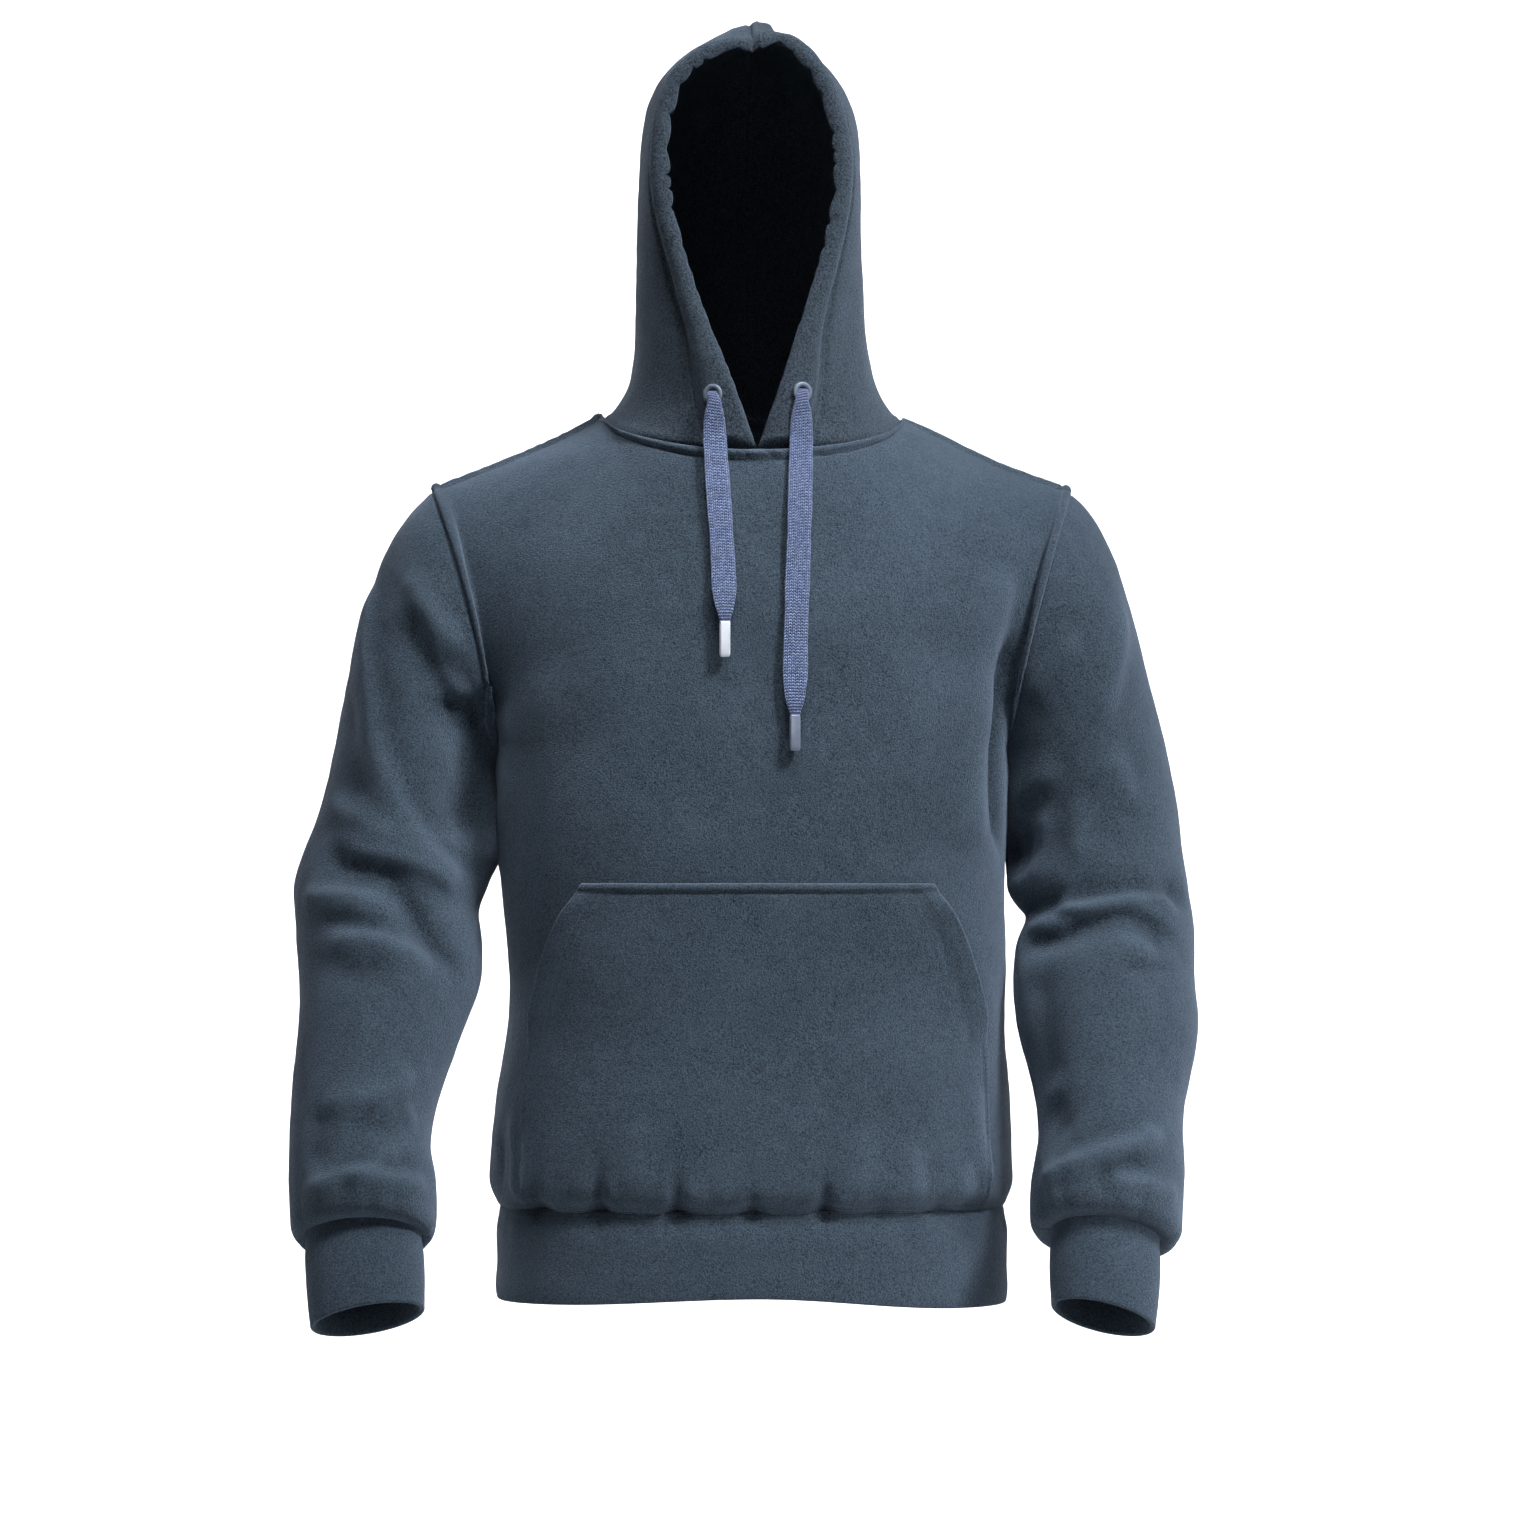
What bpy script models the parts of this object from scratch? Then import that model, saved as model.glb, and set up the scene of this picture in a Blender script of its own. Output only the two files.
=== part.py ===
"""Pullover hoodie in its worn form: hood up, empty and open at face, neck, cuffs and hem.

Metres, +Z up, the front faces -Y and +X is the wearer's left.  The origin lies on the centre
line at the height where the shoulder seams meet the neck.
"""
import math
from collections import namedtuple

import bpy
import numpy as np
from mathutils import Vector
from mathutils.bvhtree import BVHTree

# ---------------------------------------------------------------- driving dimensions (metres)
GAP = 0.0003                # clearance between neighbouring pieces at a seam
WALL = 0.0026               # fleece thickness
RIB_WALL = 0.0040           # cuffs and hem band, two layers of rib
RIDGE_WIDTH = 0.0085        # topstitched seam allowance beside a seam
RIDGE_STEP = 0.0025         # run-out of that ridge
RIDGE_HEIGHT = 0.0009

SIDE_Y = 0.004              # depth of the side seams and shoulder tips
HEM_Z = -0.6170
ARMPIT_Z = -0.2620

SHOULDER_TIP_X = 0.2515
SHOULDER_TIP_Z = -0.0580
SHOULDER_SAG = 0.0030       # how far the shoulder seam hangs below a straight line
ARMPIT_X = 0.2000
ARMHOLE_DEPTH = 0.0640      # half depth of the armhole, front to back
ARMHOLE_BOW = 0.0060        # how far the armhole bends towards the body halfway up

BLOUSE_DROP = 0.0130        # how far the sleeve rolls down over the top of the cuff
CUFF_TUCK = 0.0045          # length of cuff hidden inside that roll

EYELET_OUTER = 0.0078
EYELET_INNER = 0.0043
EYELET_HEIGHT = 0.0016
EYELET_SEAT = 0.0009         # a flat ring clears the curved casing by this much
CORD_WIDTH = 0.0185
CORD_THICKNESS = 0.0030
TIP_RADIUS = 0.0041
TIP_LENGTH = 0.0270

# ------------------------------------------------------------------------------ short tables
BodyLevel = namedtuple("BodyLevel", "height half_width front back squareness")
BODY = (
    BodyLevel(HEM_Z, 0.1985, 0.1080, 0.1080, 2.5),
    BodyLevel(-0.5950, 0.2030, 0.1130, 0.1120, 2.5),
    BodyLevel(-0.5400, 0.2020, 0.1140, 0.1110, 2.5),
    BodyLevel(-0.4800, 0.1985, 0.1145, 0.1080, 2.5),
    BodyLevel(-0.4000, 0.1990, 0.1190, 0.1080, 2.5),
    BodyLevel(-0.3300, 0.1995, 0.1240, 0.1120, 2.5),
    BodyLevel(-0.2620, 0.2000, 0.1250, 0.1160, 2.5),
)
BandLevel = namedtuple("BandLevel", "height spread")
HEM_BAND = (
    BandLevel(HEM_Z - GAP, 1.000),
    BandLevel(-0.6330, 0.990),
    BandLevel(-0.6600, 0.985),
    BandLevel(-0.6830, 0.988),
    BandLevel(-0.6885, 0.983),
)
# Column of the front panel that runs up the pocket's sides and on to the neck point.
PocketSide = namedtuple("PocketSide", "height half_width")
POCKET_SIDE = (
    PocketSide(HEM_Z, 0.1780),
    PocketSide(-0.5800, 0.1805),
    PocketSide(-0.5300, 0.1800),
    PocketSide(-0.4900, 0.1770),
    PocketSide(-0.4500, 0.1700),
    PocketSide(-0.4200, 0.1610),
    PocketSide(-0.3920, 0.1490),
    PocketSide(-0.3660, 0.1340),
    PocketSide(-0.3300, 0.1260),
    PocketSide(-0.2620, 0.1210),
)
POCKET_MOUTH_LOW = -0.4850  # the slanted openings end here
POCKET_MOUTH_LIFT = 0.0030

# Rings of a sleeve: the outer and inner point of each ring, its middle, and its tilt.
Ring = namedtuple("Ring", "outer_x outer_z inner_x inner_z mid_y half_depth tilt")
SLEEVE_RIGHT = (
    Ring(0.2515, -0.058, 0.2000, -0.262, 0.004, 0.064, 0),
    Ring(0.2720, -0.082, 0.2065, -0.270, 0.006, 0.067, 0),
    Ring(0.2900, -0.113, 0.2075, -0.281, 0.008, 0.069, 0),
    Ring(0.3020, -0.150, 0.2070, -0.295, 0.010, 0.070, 0),
    Ring(0.3120, -0.190, 0.2065, -0.312, 0.011, 0.070, 0),
    Ring(0.3220, -0.232, 0.2065, -0.330, 0.011, 0.069, 0),
    Ring(0.3320, -0.275, 0.2070, -0.349, 0.009, 0.068, 2),
    Ring(0.3415, -0.317, 0.2150, -0.368, 0.004, 0.068, 6),
    Ring(0.3570, -0.365, 0.2190, -0.391, -0.005, 0.068, 12),
    Ring(0.3550, -0.405, 0.2155, -0.418, -0.017, 0.067, 17),
    Ring(0.3510, -0.445, 0.2160, -0.450, -0.032, 0.064, 21),
    Ring(0.3520, -0.480, 0.2290, -0.484, -0.047, 0.060, 24),
    Ring(0.3540, -0.520, 0.2405, -0.522, -0.064, 0.056, 25),
    Ring(0.3550, -0.560, 0.2470, -0.560, -0.081, 0.054, 26),
    Ring(0.3535, -0.595, 0.2440, -0.593, -0.096, 0.054, 26),
    Ring(0.3515, -0.622, 0.2440, -0.620, -0.107, 0.054, 30),
)
SLEEVE_LEFT = (
    Ring(0.2515, -0.058, 0.2000, -0.262, 0.004, 0.064, 0),
    Ring(0.2720, -0.080, 0.2065, -0.270, 0.006, 0.067, 0),
    Ring(0.2880, -0.110, 0.2075, -0.281, 0.008, 0.069, 0),
    Ring(0.3000, -0.150, 0.2070, -0.295, 0.010, 0.070, 0),
    Ring(0.3105, -0.190, 0.2065, -0.312, 0.011, 0.070, 0),
    Ring(0.3215, -0.232, 0.2065, -0.330, 0.011, 0.069, 0),
    Ring(0.3305, -0.275, 0.2065, -0.349, 0.009, 0.068, 2),
    Ring(0.3380, -0.317, 0.2065, -0.366, 0.004, 0.068, 6),
    Ring(0.3425, -0.362, 0.2065, -0.386, -0.005, 0.068, 12),
    Ring(0.3445, -0.402, 0.2095, -0.410, -0.017, 0.067, 17),
    Ring(0.3445, -0.442, 0.2065, -0.443, -0.032, 0.064, 21),
    Ring(0.3440, -0.475, 0.2070, -0.474, -0.047, 0.060, 24),
    Ring(0.3370, -0.515, 0.2120, -0.513, -0.064, 0.056, 25),
    Ring(0.3270, -0.558, 0.2165, -0.553, -0.081, 0.054, 26),
    Ring(0.3255, -0.600, 0.2100, -0.590, -0.096, 0.054, 26),
    Ring(0.3225, -0.630, 0.2070, -0.614, -0.107, 0.054, 30),
)
# Foot of each cuff, in the same terms, and its size at the top as half width and half depth.
CUFF_FOOT_RIGHT = Ring(0.3345, -0.699, 0.2500, -0.684, -0.137, 0.031, 27)
CUFF_FOOT_LEFT = Ring(0.2975, -0.703, 0.2200, -0.682, -0.137, 0.031, 27)
CUFF_HALF_WIDTH_RIGHT = 0.0440
CUFF_HALF_WIDTH_LEFT = 0.0410
CUFF_HALF_DEPTH = 0.0340

# Levels of a hood half, from the neck seam to the crown: its face edge, its widest point at
# the side, its centre back, and how the face edge leaves for the side.
HoodLevel = namedtuple(
    "HoodLevel", "face_x face_y face_z side_x side_y side_z back_y back_z turn casing ease")
HOOD = (
    HoodLevel(0.0002, -0.100, -0.034, 0.1180, 0.000, 0.000, 0.084, 0.008, 0, 0.036, 0.0),
    HoodLevel(0.0150, -0.103, 0.003, 0.0990, 0.004, 0.015, 0.094, 0.028, 20, 0.034, 0.2),
    HoodLevel(0.0217, -0.102, 0.022, 0.0953, 0.006, 0.034, 0.102, 0.052, 26, 0.031, 0.3),
    HoodLevel(0.0328, -0.098, 0.052, 0.0915, 0.008, 0.060, 0.113, 0.085, 34, 0.026, 0.4),
    HoodLevel(0.0430, -0.094, 0.078, 0.0890, 0.010, 0.085, 0.122, 0.113, 40, 0.024, 0.5),
    HoodLevel(0.0520, -0.090, 0.115, 0.0883, 0.012, 0.118, 0.131, 0.147, 44, 0.023, 0.5),
    HoodLevel(0.0595, -0.087, 0.144, 0.0874, 0.012, 0.145, 0.135, 0.172, 46, 0.022, 0.5),
    HoodLevel(0.0630, -0.085, 0.175, 0.0868, 0.012, 0.175, 0.135, 0.202, 46, 0.022, 0.5),
    HoodLevel(0.0630, -0.083, 0.204, 0.0868, 0.012, 0.205, 0.128, 0.229, 46, 0.022, 0.6),
    HoodLevel(0.0585, -0.082, 0.228, 0.0847, 0.012, 0.236, 0.115, 0.254, 44, 0.022, 0.7),
    HoodLevel(0.0505, -0.081, 0.244, 0.0795, 0.012, 0.254, 0.102, 0.270, 42, 0.021, 0.8),
    HoodLevel(0.0389, -0.080, 0.259, 0.0680, 0.012, 0.273, 0.086, 0.284, 42, 0.020, 0.9),
    HoodLevel(0.0267, -0.080, 0.269, 0.0450, 0.012, 0.294, 0.070, 0.295, 50, 0.019, 1.0),
    HoodLevel(0.0130, -0.079, 0.276, 0.0220, 0.012, 0.307, 0.055, 0.303, 65, 0.018, 1.0),
    HoodLevel(0.0002, -0.079, 0.279, 0.0002, 0.012, 0.3135, 0.040, 0.308, 90, 0.018, 1.0),
)
# How the casing stands off the hood: fraction of its width, lift and wall thickness.
CasingStep = namedtuple("CasingStep", "across lift wall")
CASING = (
    CasingStep(0.00, -0.0012, 0.0032),
    CasingStep(0.22, 0.0014, 0.0056),
    CasingStep(0.58, 0.0020, 0.0060),
    CasingStep(0.90, 0.0010, 0.0046),
    CasingStep(1.08, -0.0004, 0.0028),
)

# Largest folds: where each runs as seen from the front or back, its width and its height
# (a ridge is positive, a trough negative).
Fold = namedtuple("Fold", "face path width height")
FOLDS_RIGHT = (
    Fold(-1, ((-0.303, -0.166), (-0.301, -0.228), (-0.291, -0.264), (-0.266, -0.310),
              (-0.226, -0.376)), 0.016, 0.0070),
    Fold(-1, ((-0.249, -0.192), (-0.221, -0.225)), 0.014, -0.0070),
    Fold(-1, ((-0.261, -0.235), (-0.238, -0.300)), 0.018, -0.0070),
    Fold(-1, ((-0.300, -0.352), (-0.272, -0.370), (-0.256, -0.396)), 0.019, -0.0062),
    Fold(-1, ((-0.349, -0.600), (-0.311, -0.588), (-0.278, -0.564)), 0.014, 0.0070),
    Fold(-1, ((-0.307, -0.588), (-0.285, -0.595), (-0.250, -0.598)), 0.013, 0.0056),
    Fold(1, ((-0.346, -0.350), (-0.300, -0.385), (-0.245, -0.392)), 0.016, -0.0084),
    Fold(1, ((-0.340, -0.420), (-0.290, -0.440), (-0.235, -0.425)), 0.017, 0.0045),
    Fold(1, ((-0.345, -0.570), (-0.300, -0.590), (-0.255, -0.575)), 0.014, 0.0070),
    Fold(1, ((-0.270, -0.180), (-0.235, -0.250)), 0.016, -0.0070),
)
FOLDS_LEFT = (
    Fold(-1, ((0.200, -0.206), (0.212, -0.198), (0.230, -0.182), (0.245, -0.178)),
         0.014, 0.0084),
    Fold(-1, ((0.274, -0.153), (0.266, -0.218), (0.276, -0.288)), 0.017, 0.0049),
    Fold(-1, ((0.216, -0.330), (0.240, -0.350)), 0.018, -0.0070),
    Fold(-1, ((0.238, -0.376), (0.300, -0.374), (0.330, -0.380)), 0.015, 0.0084),
    Fold(-1, ((0.202, -0.414), (0.225, -0.407), (0.250, -0.395), (0.287, -0.390),
              (0.311, -0.397), (0.330, -0.406)), 0.013, -0.0112),
    Fold(-1, ((0.205, -0.477), (0.228, -0.477)), 0.016, -0.0056),
    Fold(-1, ((0.207, -0.592), (0.220, -0.580), (0.255, -0.568), (0.279, -0.560),
              (0.312, -0.548)), 0.014, 0.0084),
    Fold(1, ((0.335, -0.345), (0.290, -0.372), (0.235, -0.380)), 0.016, -0.0084),
    Fold(1, ((0.335, -0.410), (0.280, -0.435), (0.225, -0.420)), 0.015, 0.0070),
    Fold(1, ((0.318, -0.565), (0.270, -0.585), (0.220, -0.570)), 0.014, 0.0070),
    Fold(1, ((0.270, -0.180), (0.235, -0.250)), 0.016, -0.0070),
)

# Free ends of the drawcord: side, height of the eyelet's centre, and the route of the cord's
# middle line, straight out of the eyelet and down the front to the tip.
CordEnd = namedtuple("CordEnd", "name side eyelet_height route")
CORDS = (
    CordEnd("right", -1, 0.0065, (
        (-0.0333, -0.0988, 0.0071), (-0.0343, -0.1014, 0.0070), (-0.0331, -0.1044, 0.0019),
        (-0.0330, -0.1040, -0.0055), (-0.0329, -0.1028, -0.0129), (-0.0326, -0.1020, -0.0203),
        (-0.0324, -0.1021, -0.0277), (-0.0320, -0.1033, -0.0350), (-0.0317, -0.1051, -0.0424),
        (-0.0312, -0.1066, -0.0498), (-0.0308, -0.1081, -0.0572), (-0.0303, -0.1096, -0.0646),
        (-0.0299, -0.1107, -0.0719), (-0.0294, -0.1119, -0.0793), (-0.0289, -0.1130, -0.0867),
        (-0.0284, -0.1140, -0.0941), (-0.0280, -0.1148, -0.1015), (-0.0275, -0.1156, -0.1088),
        (-0.0271, -0.1165, -0.1162), (-0.0267, -0.1173, -0.1236), (-0.0264, -0.1181, -0.1310),
        (-0.0261, -0.1192, -0.1384), (-0.0258, -0.1206, -0.1458), (-0.0257, -0.1223, -0.1531),
        (-0.0255, -0.1236, -0.1605), (-0.0255, -0.1243, -0.1679))),
    CordEnd("left", 1, 0.0085, (
        (0.0339, -0.0987, 0.0091), (0.0349, -0.1013, 0.0090), (0.0338, -0.1042, 0.0017),
        (0.0337, -0.1036, -0.0088), (0.0335, -0.1030, -0.0192), (0.0334, -0.1032, -0.0297),
        (0.0331, -0.1046, -0.0402), (0.0329, -0.1067, -0.0506), (0.0325, -0.1089, -0.0611),
        (0.0322, -0.1106, -0.0715), (0.0319, -0.1122, -0.0820), (0.0315, -0.1137, -0.0925),
        (0.0311, -0.1149, -0.1029), (0.0307, -0.1161, -0.1134), (0.0303, -0.1172, -0.1238),
        (0.0299, -0.1181, -0.1343), (0.0295, -0.1189, -0.1448), (0.0292, -0.1197, -0.1552),
        (0.0288, -0.1204, -0.1657), (0.0285, -0.1209, -0.1761), (0.0282, -0.1215, -0.1866),
        (0.0280, -0.1221, -0.1970), (0.0278, -0.1229, -0.2075), (0.0276, -0.1240, -0.2180),
        (0.0275, -0.1252, -0.2284), (0.0275, -0.1257, -0.2389))),
)
EYELET_ACROSS = 0.0180

# Grid counts.
ARM_ROWS = (0.0, 0.11, 0.23, 0.36, 0.50, 0.64, 0.77, 0.89, 0.962, 0.971, 1.0)
SIDE_ROWS = (HEM_Z, -0.5900, -0.5550, -0.5200, -0.4850, -0.4500, -0.4200, -0.3920, -0.3660,
             -0.3300, -0.2950, ARMPIT_Z)
POCKET_ROWS = 9
SHOULDER_COLUMNS = 5
FRONT_NECK_COLUMNS = 7
BACK_NECK_COLUMNS = 5
SLEEVE_ROWS = 27
HOOD_ROWS = 16


# ------------------------------------------------------------------------------ small helpers
def unit(vectors):
    """Vectors of length one."""
    return vectors / np.maximum(np.linalg.norm(vectors, axis=-1, keepdims=True), 1e-12)


def smooth(places, values, where):
    """Smooth curve through (places, values), read at where."""
    places = np.asarray(places, float)
    values = np.asarray(values, float)
    slopes = np.gradient(values, places)
    where = np.clip(np.asarray(where, float), places[0], places[-1])
    index = np.clip(np.searchsorted(places, where, side="right") - 1, 0, len(places) - 2)
    span = places[index + 1] - places[index]
    part = (where - places[index]) / span
    return ((2 * part ** 3 - 3 * part ** 2 + 1) * values[index]
            + (part ** 3 - 2 * part ** 2 + part) * span * slopes[index]
            + (3 * part ** 2 - 2 * part ** 3) * values[index + 1]
            + (part ** 3 - part ** 2) * span * slopes[index + 1])


def column(table, name, where, key="height"):
    """One named column of a table, read smoothly at the given key values."""
    return smooth([getattr(row, key) for row in table], [getattr(row, name) for row in table],
                  where)


def row_at(table, where):
    """A whole table row at a fractional row number."""
    numbers = np.arange(len(table))
    return type(table[0])(*(float(smooth(numbers, [row[i] for row in table], where))
                            for i in range(len(table[0]))))


def lengths(points):
    """Distance travelled along a polyline at each of its points."""
    steps = np.linalg.norm(np.diff(points, axis=0), axis=1)
    return np.concatenate([[0.0], np.cumsum(steps)])


def walk(points, distances):
    """Points at the given distances along a polyline."""
    travelled = lengths(points)
    return np.stack([np.interp(distances, travelled, points[:, axis]) for axis in range(3)],
                    axis=1)


def bezier(start, leave, arrive, end, count=60):
    """Cubic curve from start to end."""
    part = np.linspace(0.0, 1.0, count)[:, None]
    return ((1 - part) ** 3 * start + 3 * (1 - part) ** 2 * part * leave
            + 3 * (1 - part) * part ** 2 * arrive + part ** 3 * end)


def grid_normals(grid, closed):
    """Outward normals of a grid whose columns run to the left of its rows."""
    along = np.gradient(grid, axis=0)
    if closed:
        across = (np.roll(grid, -1, axis=1) - np.roll(grid, 1, axis=1)) / 2
    else:
        across = np.gradient(grid, axis=1)
    return unit(np.cross(across, along))


def ease(part):
    """Smooth step between nought and one."""
    part = np.clip(part, 0.0, 1.0)
    return part * part * (3 - 2 * part)


def fold_lift(grid, normals, folds):
    """How far a set of folds moves each grid point outward."""
    lift = np.zeros(grid.shape[:2])
    place = grid[..., [0, 2]]
    for fold in folds:
        facing = np.clip(normals[..., 1] * fold.face, 0.0, 1.0) ** 0.5
        nearest = np.full(grid.shape[:2], 1.0)
        for start, end in zip(fold.path[:-1], fold.path[1:]):
            start, end = np.array(start), np.array(end)
            run = end - start
            part = np.clip(((place - start) @ run) / (run @ run), 0.0, 1.0)
            gap = np.linalg.norm(place - start - part[..., None] * run, axis=-1)
            nearest = np.minimum(nearest, gap)
        lift += fold.height * facing * np.exp(-(nearest / fold.width) ** 2)
    return lift


# ------------------------------------------------------------------------------ the body
def armhole(turn, side, face):
    """Armhole point at an angle from the shoulder tip; face is -1 in front, +1 behind."""
    middle_x = (SHOULDER_TIP_X + ARMPIT_X) / 2
    reach_x = (SHOULDER_TIP_X - ARMPIT_X) / 2
    middle_z = (SHOULDER_TIP_Z + ARMPIT_Z) / 2
    reach_z = (SHOULDER_TIP_Z - ARMPIT_Z) / 2
    x = middle_x + reach_x * np.cos(turn) - ARMHOLE_BOW * np.sin(turn) ** 2
    y = SIDE_Y + face * ARMHOLE_DEPTH * np.abs(np.sin(turn))
    z = middle_z + reach_z * np.cos(turn)
    return np.stack([side * x, y, z], axis=-1)


def section_distances(level_z, curve, guided):
    """Distances from the side seam to each column, over half a panel."""
    total = lengths(curve)[-1]
    ridge = [0.0, RIDGE_WIDTH, RIDGE_WIDTH + RIDGE_STEP]
    if guided:
        guide_x = column(POCKET_SIDE, "half_width", level_z)
        travelled = lengths(curve)
        guide = float(np.interp(-guide_x, -curve[:, 0], travelled))
        inner = FRONT_NECK_COLUMNS
    else:
        guide = total * 0.52
        inner = BACK_NECK_COLUMNS
    outer = np.linspace(ridge[-1], guide, SHOULDER_COLUMNS - 1)[1:]
    middle = np.linspace(guide, total, inner + 1)[1:]
    return np.concatenate([ridge, outer, middle])


def body_section(level_z, face):
    """Half a panel at one height, from the +X side seam to the centre line."""
    half_width = column(BODY, "half_width", level_z)
    depth = column(BODY, "front" if face < 0 else "back", level_z)
    power = 2.0 / column(BODY, "squareness", level_z)
    angle = np.linspace(math.pi / 2, 0.0, 181)
    curve = np.stack([half_width * np.abs(np.sin(angle)) ** power,
                      SIDE_Y + face * depth * np.abs(np.cos(angle)) ** power,
                      np.full_like(angle, level_z)], axis=1)
    return walk(curve, section_distances(level_z, curve, face < 0))


def neck_curve(face):
    """Half of the neck seam from the +X neck point to the centre line."""
    level = HOOD[0]
    front, behind = hood_halves(level)
    return front[::-1] if face < 0 else behind


def top_edge(face):
    """Shoulder seam and neckline of half a panel, from the +X shoulder tip to the centre."""
    tip = np.array([SHOULDER_TIP_X, SIDE_Y, SHOULDER_TIP_Z])
    neck = neck_curve(face)
    part = np.linspace(0.0, 1.0, 30)[:, None]
    seam = tip + (neck[0] - tip) * part
    seam[:, 2] -= SHOULDER_SAG * np.sin(math.pi * part[:, 0])
    total = lengths(seam)[-1]
    ridge = RIDGE_WIDTH + RIDGE_STEP
    shoulder = np.concatenate([[0.0, RIDGE_WIDTH],
                               np.linspace(ridge, total, SHOULDER_COLUMNS - 1)])
    level = HOOD[0]
    if face < 0:
        around = lengths(neck)[-1] - hood_front_steps(level, lengths(neck)[-1])[::-1]
    else:
        around = hood_back_steps(lengths(neck)[-1])
    return np.concatenate([walk(seam, shoulder), walk(neck, around[1:])])


def body_panel(face):
    """Outer points of a whole panel: rows from hem to shoulder, columns left to right."""
    lower = np.stack([body_section(z, face) for z in SIDE_ROWS])
    chest = lower[-1]
    top = top_edge(face)
    columns = len(top)
    inward = np.arange(columns) / (columns - 1)
    past_neck = np.clip((np.arange(columns) - SHOULDER_COLUMNS)
                        / (columns - 1 - SHOULDER_COLUMNS), 0.0, 1.0)
    end = np.radians(88.0 - (30.0 if face < 0 else 22.0) * ease(past_neck))
    hold = ease(1.0 - inward / 0.5)[:, None]
    upper = []
    for part in ARM_ROWS[1:]:
        rise = (np.sin(part * end) / np.sin(end))[:, None]
        back = ((np.cos(part * end) - np.cos(end)) / (1 - np.cos(end)))[:, None]
        row = chest + (top - chest) * rise
        row[:, 1:2] = top[:, 1:2] + (chest[:, 1:2] - top[:, 1:2]) * back
        edge = armhole(math.pi * (1 - part), 1, face)
        row = row + (edge - row[0]) * hold
        upper.append(row)
    half = np.concatenate([lower, np.stack(upper)])
    half[:, 0, 1] += face * GAP / 2
    half[-1, 1:SHOULDER_COLUMNS + 1, 1] += face * GAP / 2
    half[:, -1, 0] = 0.0
    mirrored = half * np.array([-1.0, 1.0, 1.0])
    if face < 0:
        return np.concatenate([mirrored[:, :-1], half[:, ::-1]], axis=1)
    return np.concatenate([half[:, :-1], mirrored[:, ::-1]], axis=1)


# ------------------------------------------------------------------------------ the hood
def hood_halves(level):
    """Face-to-side and side-to-back curves of one hood level, on the +X half."""
    face = np.array([level.face_x, level.face_y, level.face_z])
    side = np.array([level.side_x, level.side_y, level.side_z])
    back = np.array([0.0, level.back_y, level.back_z])
    turn = math.radians(level.turn)
    chord = np.linalg.norm(side - face)
    leave = face + 0.42 * chord * np.array([math.cos(turn), math.sin(turn), 0.0])
    arrive = side - np.array([0.0, 0.42 * chord, 0.0])
    front = bezier(face, leave, arrive, side)
    depth = back[1] - side[1]
    behind = bezier(side, side + np.array([0.0, 0.58 * depth, 0.0]),
                    back + np.array([0.60 * level.side_x, 0.0, 0.0]), back)
    part = lengths(front) / lengths(front)[-1] * math.pi / 2
    rise = (1 - level.ease) * (1 - np.cos(part)) + level.ease * np.sin(part)
    front[:, 2] = level.face_z + (level.side_z - level.face_z) * rise
    part = lengths(behind) / lengths(behind)[-1]
    behind[:, 2] = level.side_z + (level.back_z - level.side_z) * ease(part)
    return front, behind


def hood_front_steps(level, total):
    """Distances from the face edge to the columns up to the hood's side."""
    casing = [step.across * level.casing for step in CASING]
    plain = np.linspace(casing[-1], total, FRONT_NECK_COLUMNS - len(CASING) + 2)[1:]
    return np.concatenate([casing, plain])


def hood_back_steps(total):
    """Distances from the hood's side to the columns up to its centre back."""
    return np.linspace(0.0, total, BACK_NECK_COLUMNS + 1)


def hood_half(rows):
    """Outer points of the +X hood half: rows from the neck seam up, columns face to back."""
    grid = []
    for number in np.linspace(0, len(HOOD) - 1, rows):
        level = row_at(HOOD, number)
        front, behind = hood_halves(level)
        front = walk(front, hood_front_steps(level, lengths(front)[-1]))
        behind = walk(behind, hood_back_steps(lengths(behind)[-1]))
        grid.append(np.concatenate([front, behind[1:]]))
    grid = np.array(grid)
    grid[:, :, 0] = np.maximum(grid[:, :, 0], GAP / 2)
    return grid


# ------------------------------------------------------------------------------ the sleeves
def ring_points(ring, side, turns):
    """Points round one ring; turn 0 is the outer point and a quarter turn is the front."""
    outer = np.array([side * ring.outer_x, ring.mid_y, ring.outer_z])
    inner = np.array([side * ring.inner_x, ring.mid_y, ring.inner_z])
    reach = (outer - inner) / 2
    tilt = math.radians(ring.tilt)
    depth = np.array([0.0, -math.cos(tilt), math.sin(tilt)])
    depth = unit(depth - unit(reach) * np.dot(depth, unit(reach))) * ring.half_depth
    middle = (outer + inner) / 2
    return middle + np.cos(turns)[:, None] * reach + np.sin(turns)[:, None] * depth


def sleeve_turns():
    """Angles round a sleeve, matching the rows of the two body panels."""
    front = [math.pi * (1 - part) for part in ARM_ROWS[::-1]]
    behind = [2 * math.pi - turn for turn in front[::-1]]
    return np.array(front + behind[1:-1])


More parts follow.
